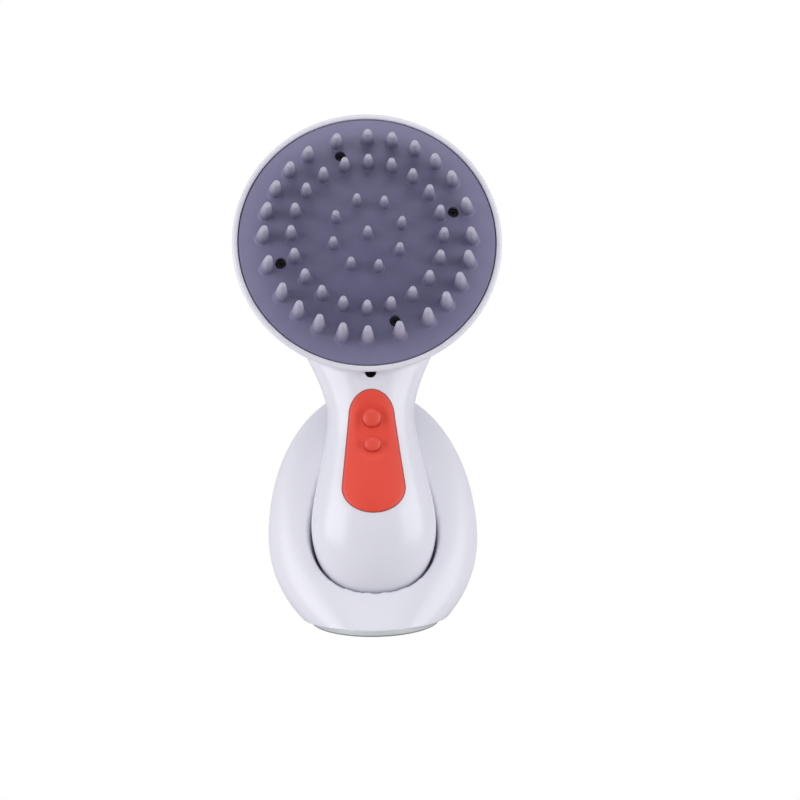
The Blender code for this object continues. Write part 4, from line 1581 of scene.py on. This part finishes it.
@dataclass(frozen=True)
class Studio:
    """A pale floor, soft lamps and the camera."""

    distance: float = 685.0 * MM
    elevation: float = math.radians(5.0)
    aim: tuple[float, float, float] = (10.7 * MM, 0.0, 82.4 * MM)
    roll: float = math.radians(-1.0)
    yaw: float = math.radians(2.2)
    lens: float = 82.86
    fill: float = 0.41
    softboxes: tuple[Softbox, ...] = (
        Softbox("top_box", (0.0, -0.1, 1.0), 1.0, 3.4),
        Softbox("left_box", (-0.90, -0.34, 0.27), 0.8, 6.3),
        Softbox("right_box", (0.90, -0.34, 0.27), 0.8, 5.6),
    )

    def floor(self) -> None:
        """Add the floor that the holder stands on, which is as white as the backdrop to the camera."""
        bpy.ops.object.select_all(action="DESELECT")
        bpy.ops.mesh.primitive_plane_add(size=8.0, location=(0.0, 0.0, CAD_BOX[0][2] - 0.02 * MM))
        floor = named("floor")
        paper = Moulded("floor_paper", (0.80, 0.80, 0.80), (0.79, 0.79, 0.795), (0.75, 0.85), 300.0,
                        0.02 * MM, 3.0).material()
        nodes, links = paper.node_tree.nodes, paper.node_tree.links
        white = nodes.new("ShaderNodeEmission")
        path = nodes.new("ShaderNodeLightPath")
        choice = nodes.new("ShaderNodeMixShader")
        links.new(path.outputs["Is Camera Ray"], choice.inputs[0])
        links.new(nodes["Principled BSDF"].outputs[0], choice.inputs[1])
        links.new(white.outputs[0], choice.inputs[2])
        links.new(choice.outputs[0], nodes["Material Output"].inputs["Surface"])
        floor.data.materials.append(paper)

    def sky(self) -> None:
        """Light everything softly from all round, with a white backdrop behind."""
        world = bpy.data.worlds.new("studio")
        bpy.context.scene.world = world
        world.use_nodes = True
        nodes, links = world.node_tree.nodes, world.node_tree.links
        backdrop = nodes["Background"]
        backdrop.inputs["Color"].default_value = (1.0, 1.0, 1.0, 1.0)
        backdrop.inputs["Strength"].default_value = 1.0
        fill = nodes.new("ShaderNodeBackground")
        fill.inputs["Color"].default_value = (0.97, 0.97, 1.0, 1.0)
        fill.inputs["Strength"].default_value = self.fill
        path = nodes.new("ShaderNodeLightPath")
        choice = nodes.new("ShaderNodeMixShader")
        links.new(path.outputs["Is Camera Ray"], choice.inputs[0])
        links.new(fill.outputs[0], choice.inputs[1])
        links.new(backdrop.outputs[0], choice.inputs[2])
        links.new(choice.outputs[0], nodes["World Output"].inputs["Surface"])

    def camera(self) -> None:
        """Add the camera, level with the handle and a little above."""
        level = math.cos(self.elevation)
        away = Vector((-math.sin(self.yaw) * level, -math.cos(self.yaw) * level, math.sin(self.elevation)))
        bpy.ops.object.camera_add(location=Vector(self.aim) + away * self.distance)
        camera = named("camera")
        turn = (-away).to_track_quat("-Z", "Y").to_matrix() @ Matrix.Rotation(self.roll, 3, "Z")
        camera.rotation_euler = turn.to_euler()
        camera.data.lens = self.lens
        bpy.context.scene.camera = camera

    def set_up(self) -> None:
        """Build the studio."""
        bpy.context.scene.view_settings.view_transform = "Standard"
        self.floor()
        self.sky()
        for softbox in self.softboxes:
            softbox.hang()
        self.camera()


def deliver(piece: bpy.types.Object, body: str, slot: str, finish: bpy.types.Material, *nodes: str) -> None:
    """Give a finished piece its finish, its body and the nodes that it stands for.

    Args:
        piece: The piece, in its place.
        body: The body that it rides on.
        slot: The record's material slot; not used.
        finish: The piece's material.
        nodes: The CAD nodes that it replaces.
    """
    piece.data.materials.clear()
    piece.data.materials.append(finish)
    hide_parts(*nodes)
    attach(piece, body)
    log.info("%s: %d faces on %s", piece.name, len(piece.data.polygons), body)


def main() -> None:
    """Build the massager, its holder and the studio."""
    logging.basicConfig(level=logging.INFO, format="%(message)s")
    lean = Lean()
    place = lean.matrix()
    handle, layout, door = Handle(), KeyLayout(), DoorLayout()
    casing = Casing(handle, layout, door)
    head = Head(casing)
    keys = Keys(handle, layout)
    holder = Holder(handle, place)
    looks = finishes(lean, head)

    blank = casing.blank()
    white = looks[Finish.CASING]
    deliver(put(casing.front(blank), place), "massager", "white_plastic", white, "front_shell")
    deliver(put(casing.rear(blank), place), "massager", "white_plastic", white, "rear_shell")
    bpy.data.objects.remove(blank, do_unlink=True)
    deliver(put(head.rim(), place), "massager", "white_plastic", white, "head_rim")
    deliver(put(head.pad(), place), "massager", "purple_silicone", looks[Finish.SILICONE], "bristle_pad")
    deliver(put(keys.pad(), place), "massager", "red_rubber", looks[Finish.KEYS], "key_pad")
    for name, spot in (("power", layout.power), ("mode", layout.mode)):
        button = put(keys.button(f"{name}_dome", spot), place)
        deliver(button, f"{name}_key", "red_rubber", looks[Finish.BUTTONS], f"{name}_button")
    cover = put(BatteryDoor(handle, door).piece(), place)
    deliver(cover, "massager", "white_plastic", white, "battery_door")

    deliver(holder.shell(), "stand", "white_plastic", looks[Finish.HOLDER], "stand_shell")
    deliver(holder.foot(), "stand", "grey_plastic", looks[Finish.FOOT], "foot_plate")
    deliver(holder.sole(), "stand", "sole_rubber", looks[Finish.SOLE], "antislip_sole")

    for finish, nodes in INNER_FINISHES.items():
        for node in nodes:
            frame["nodes"][node].material_slots[0].material = looks[finish]
    Studio().set_up()


if __name__ == "__main__":
    main()
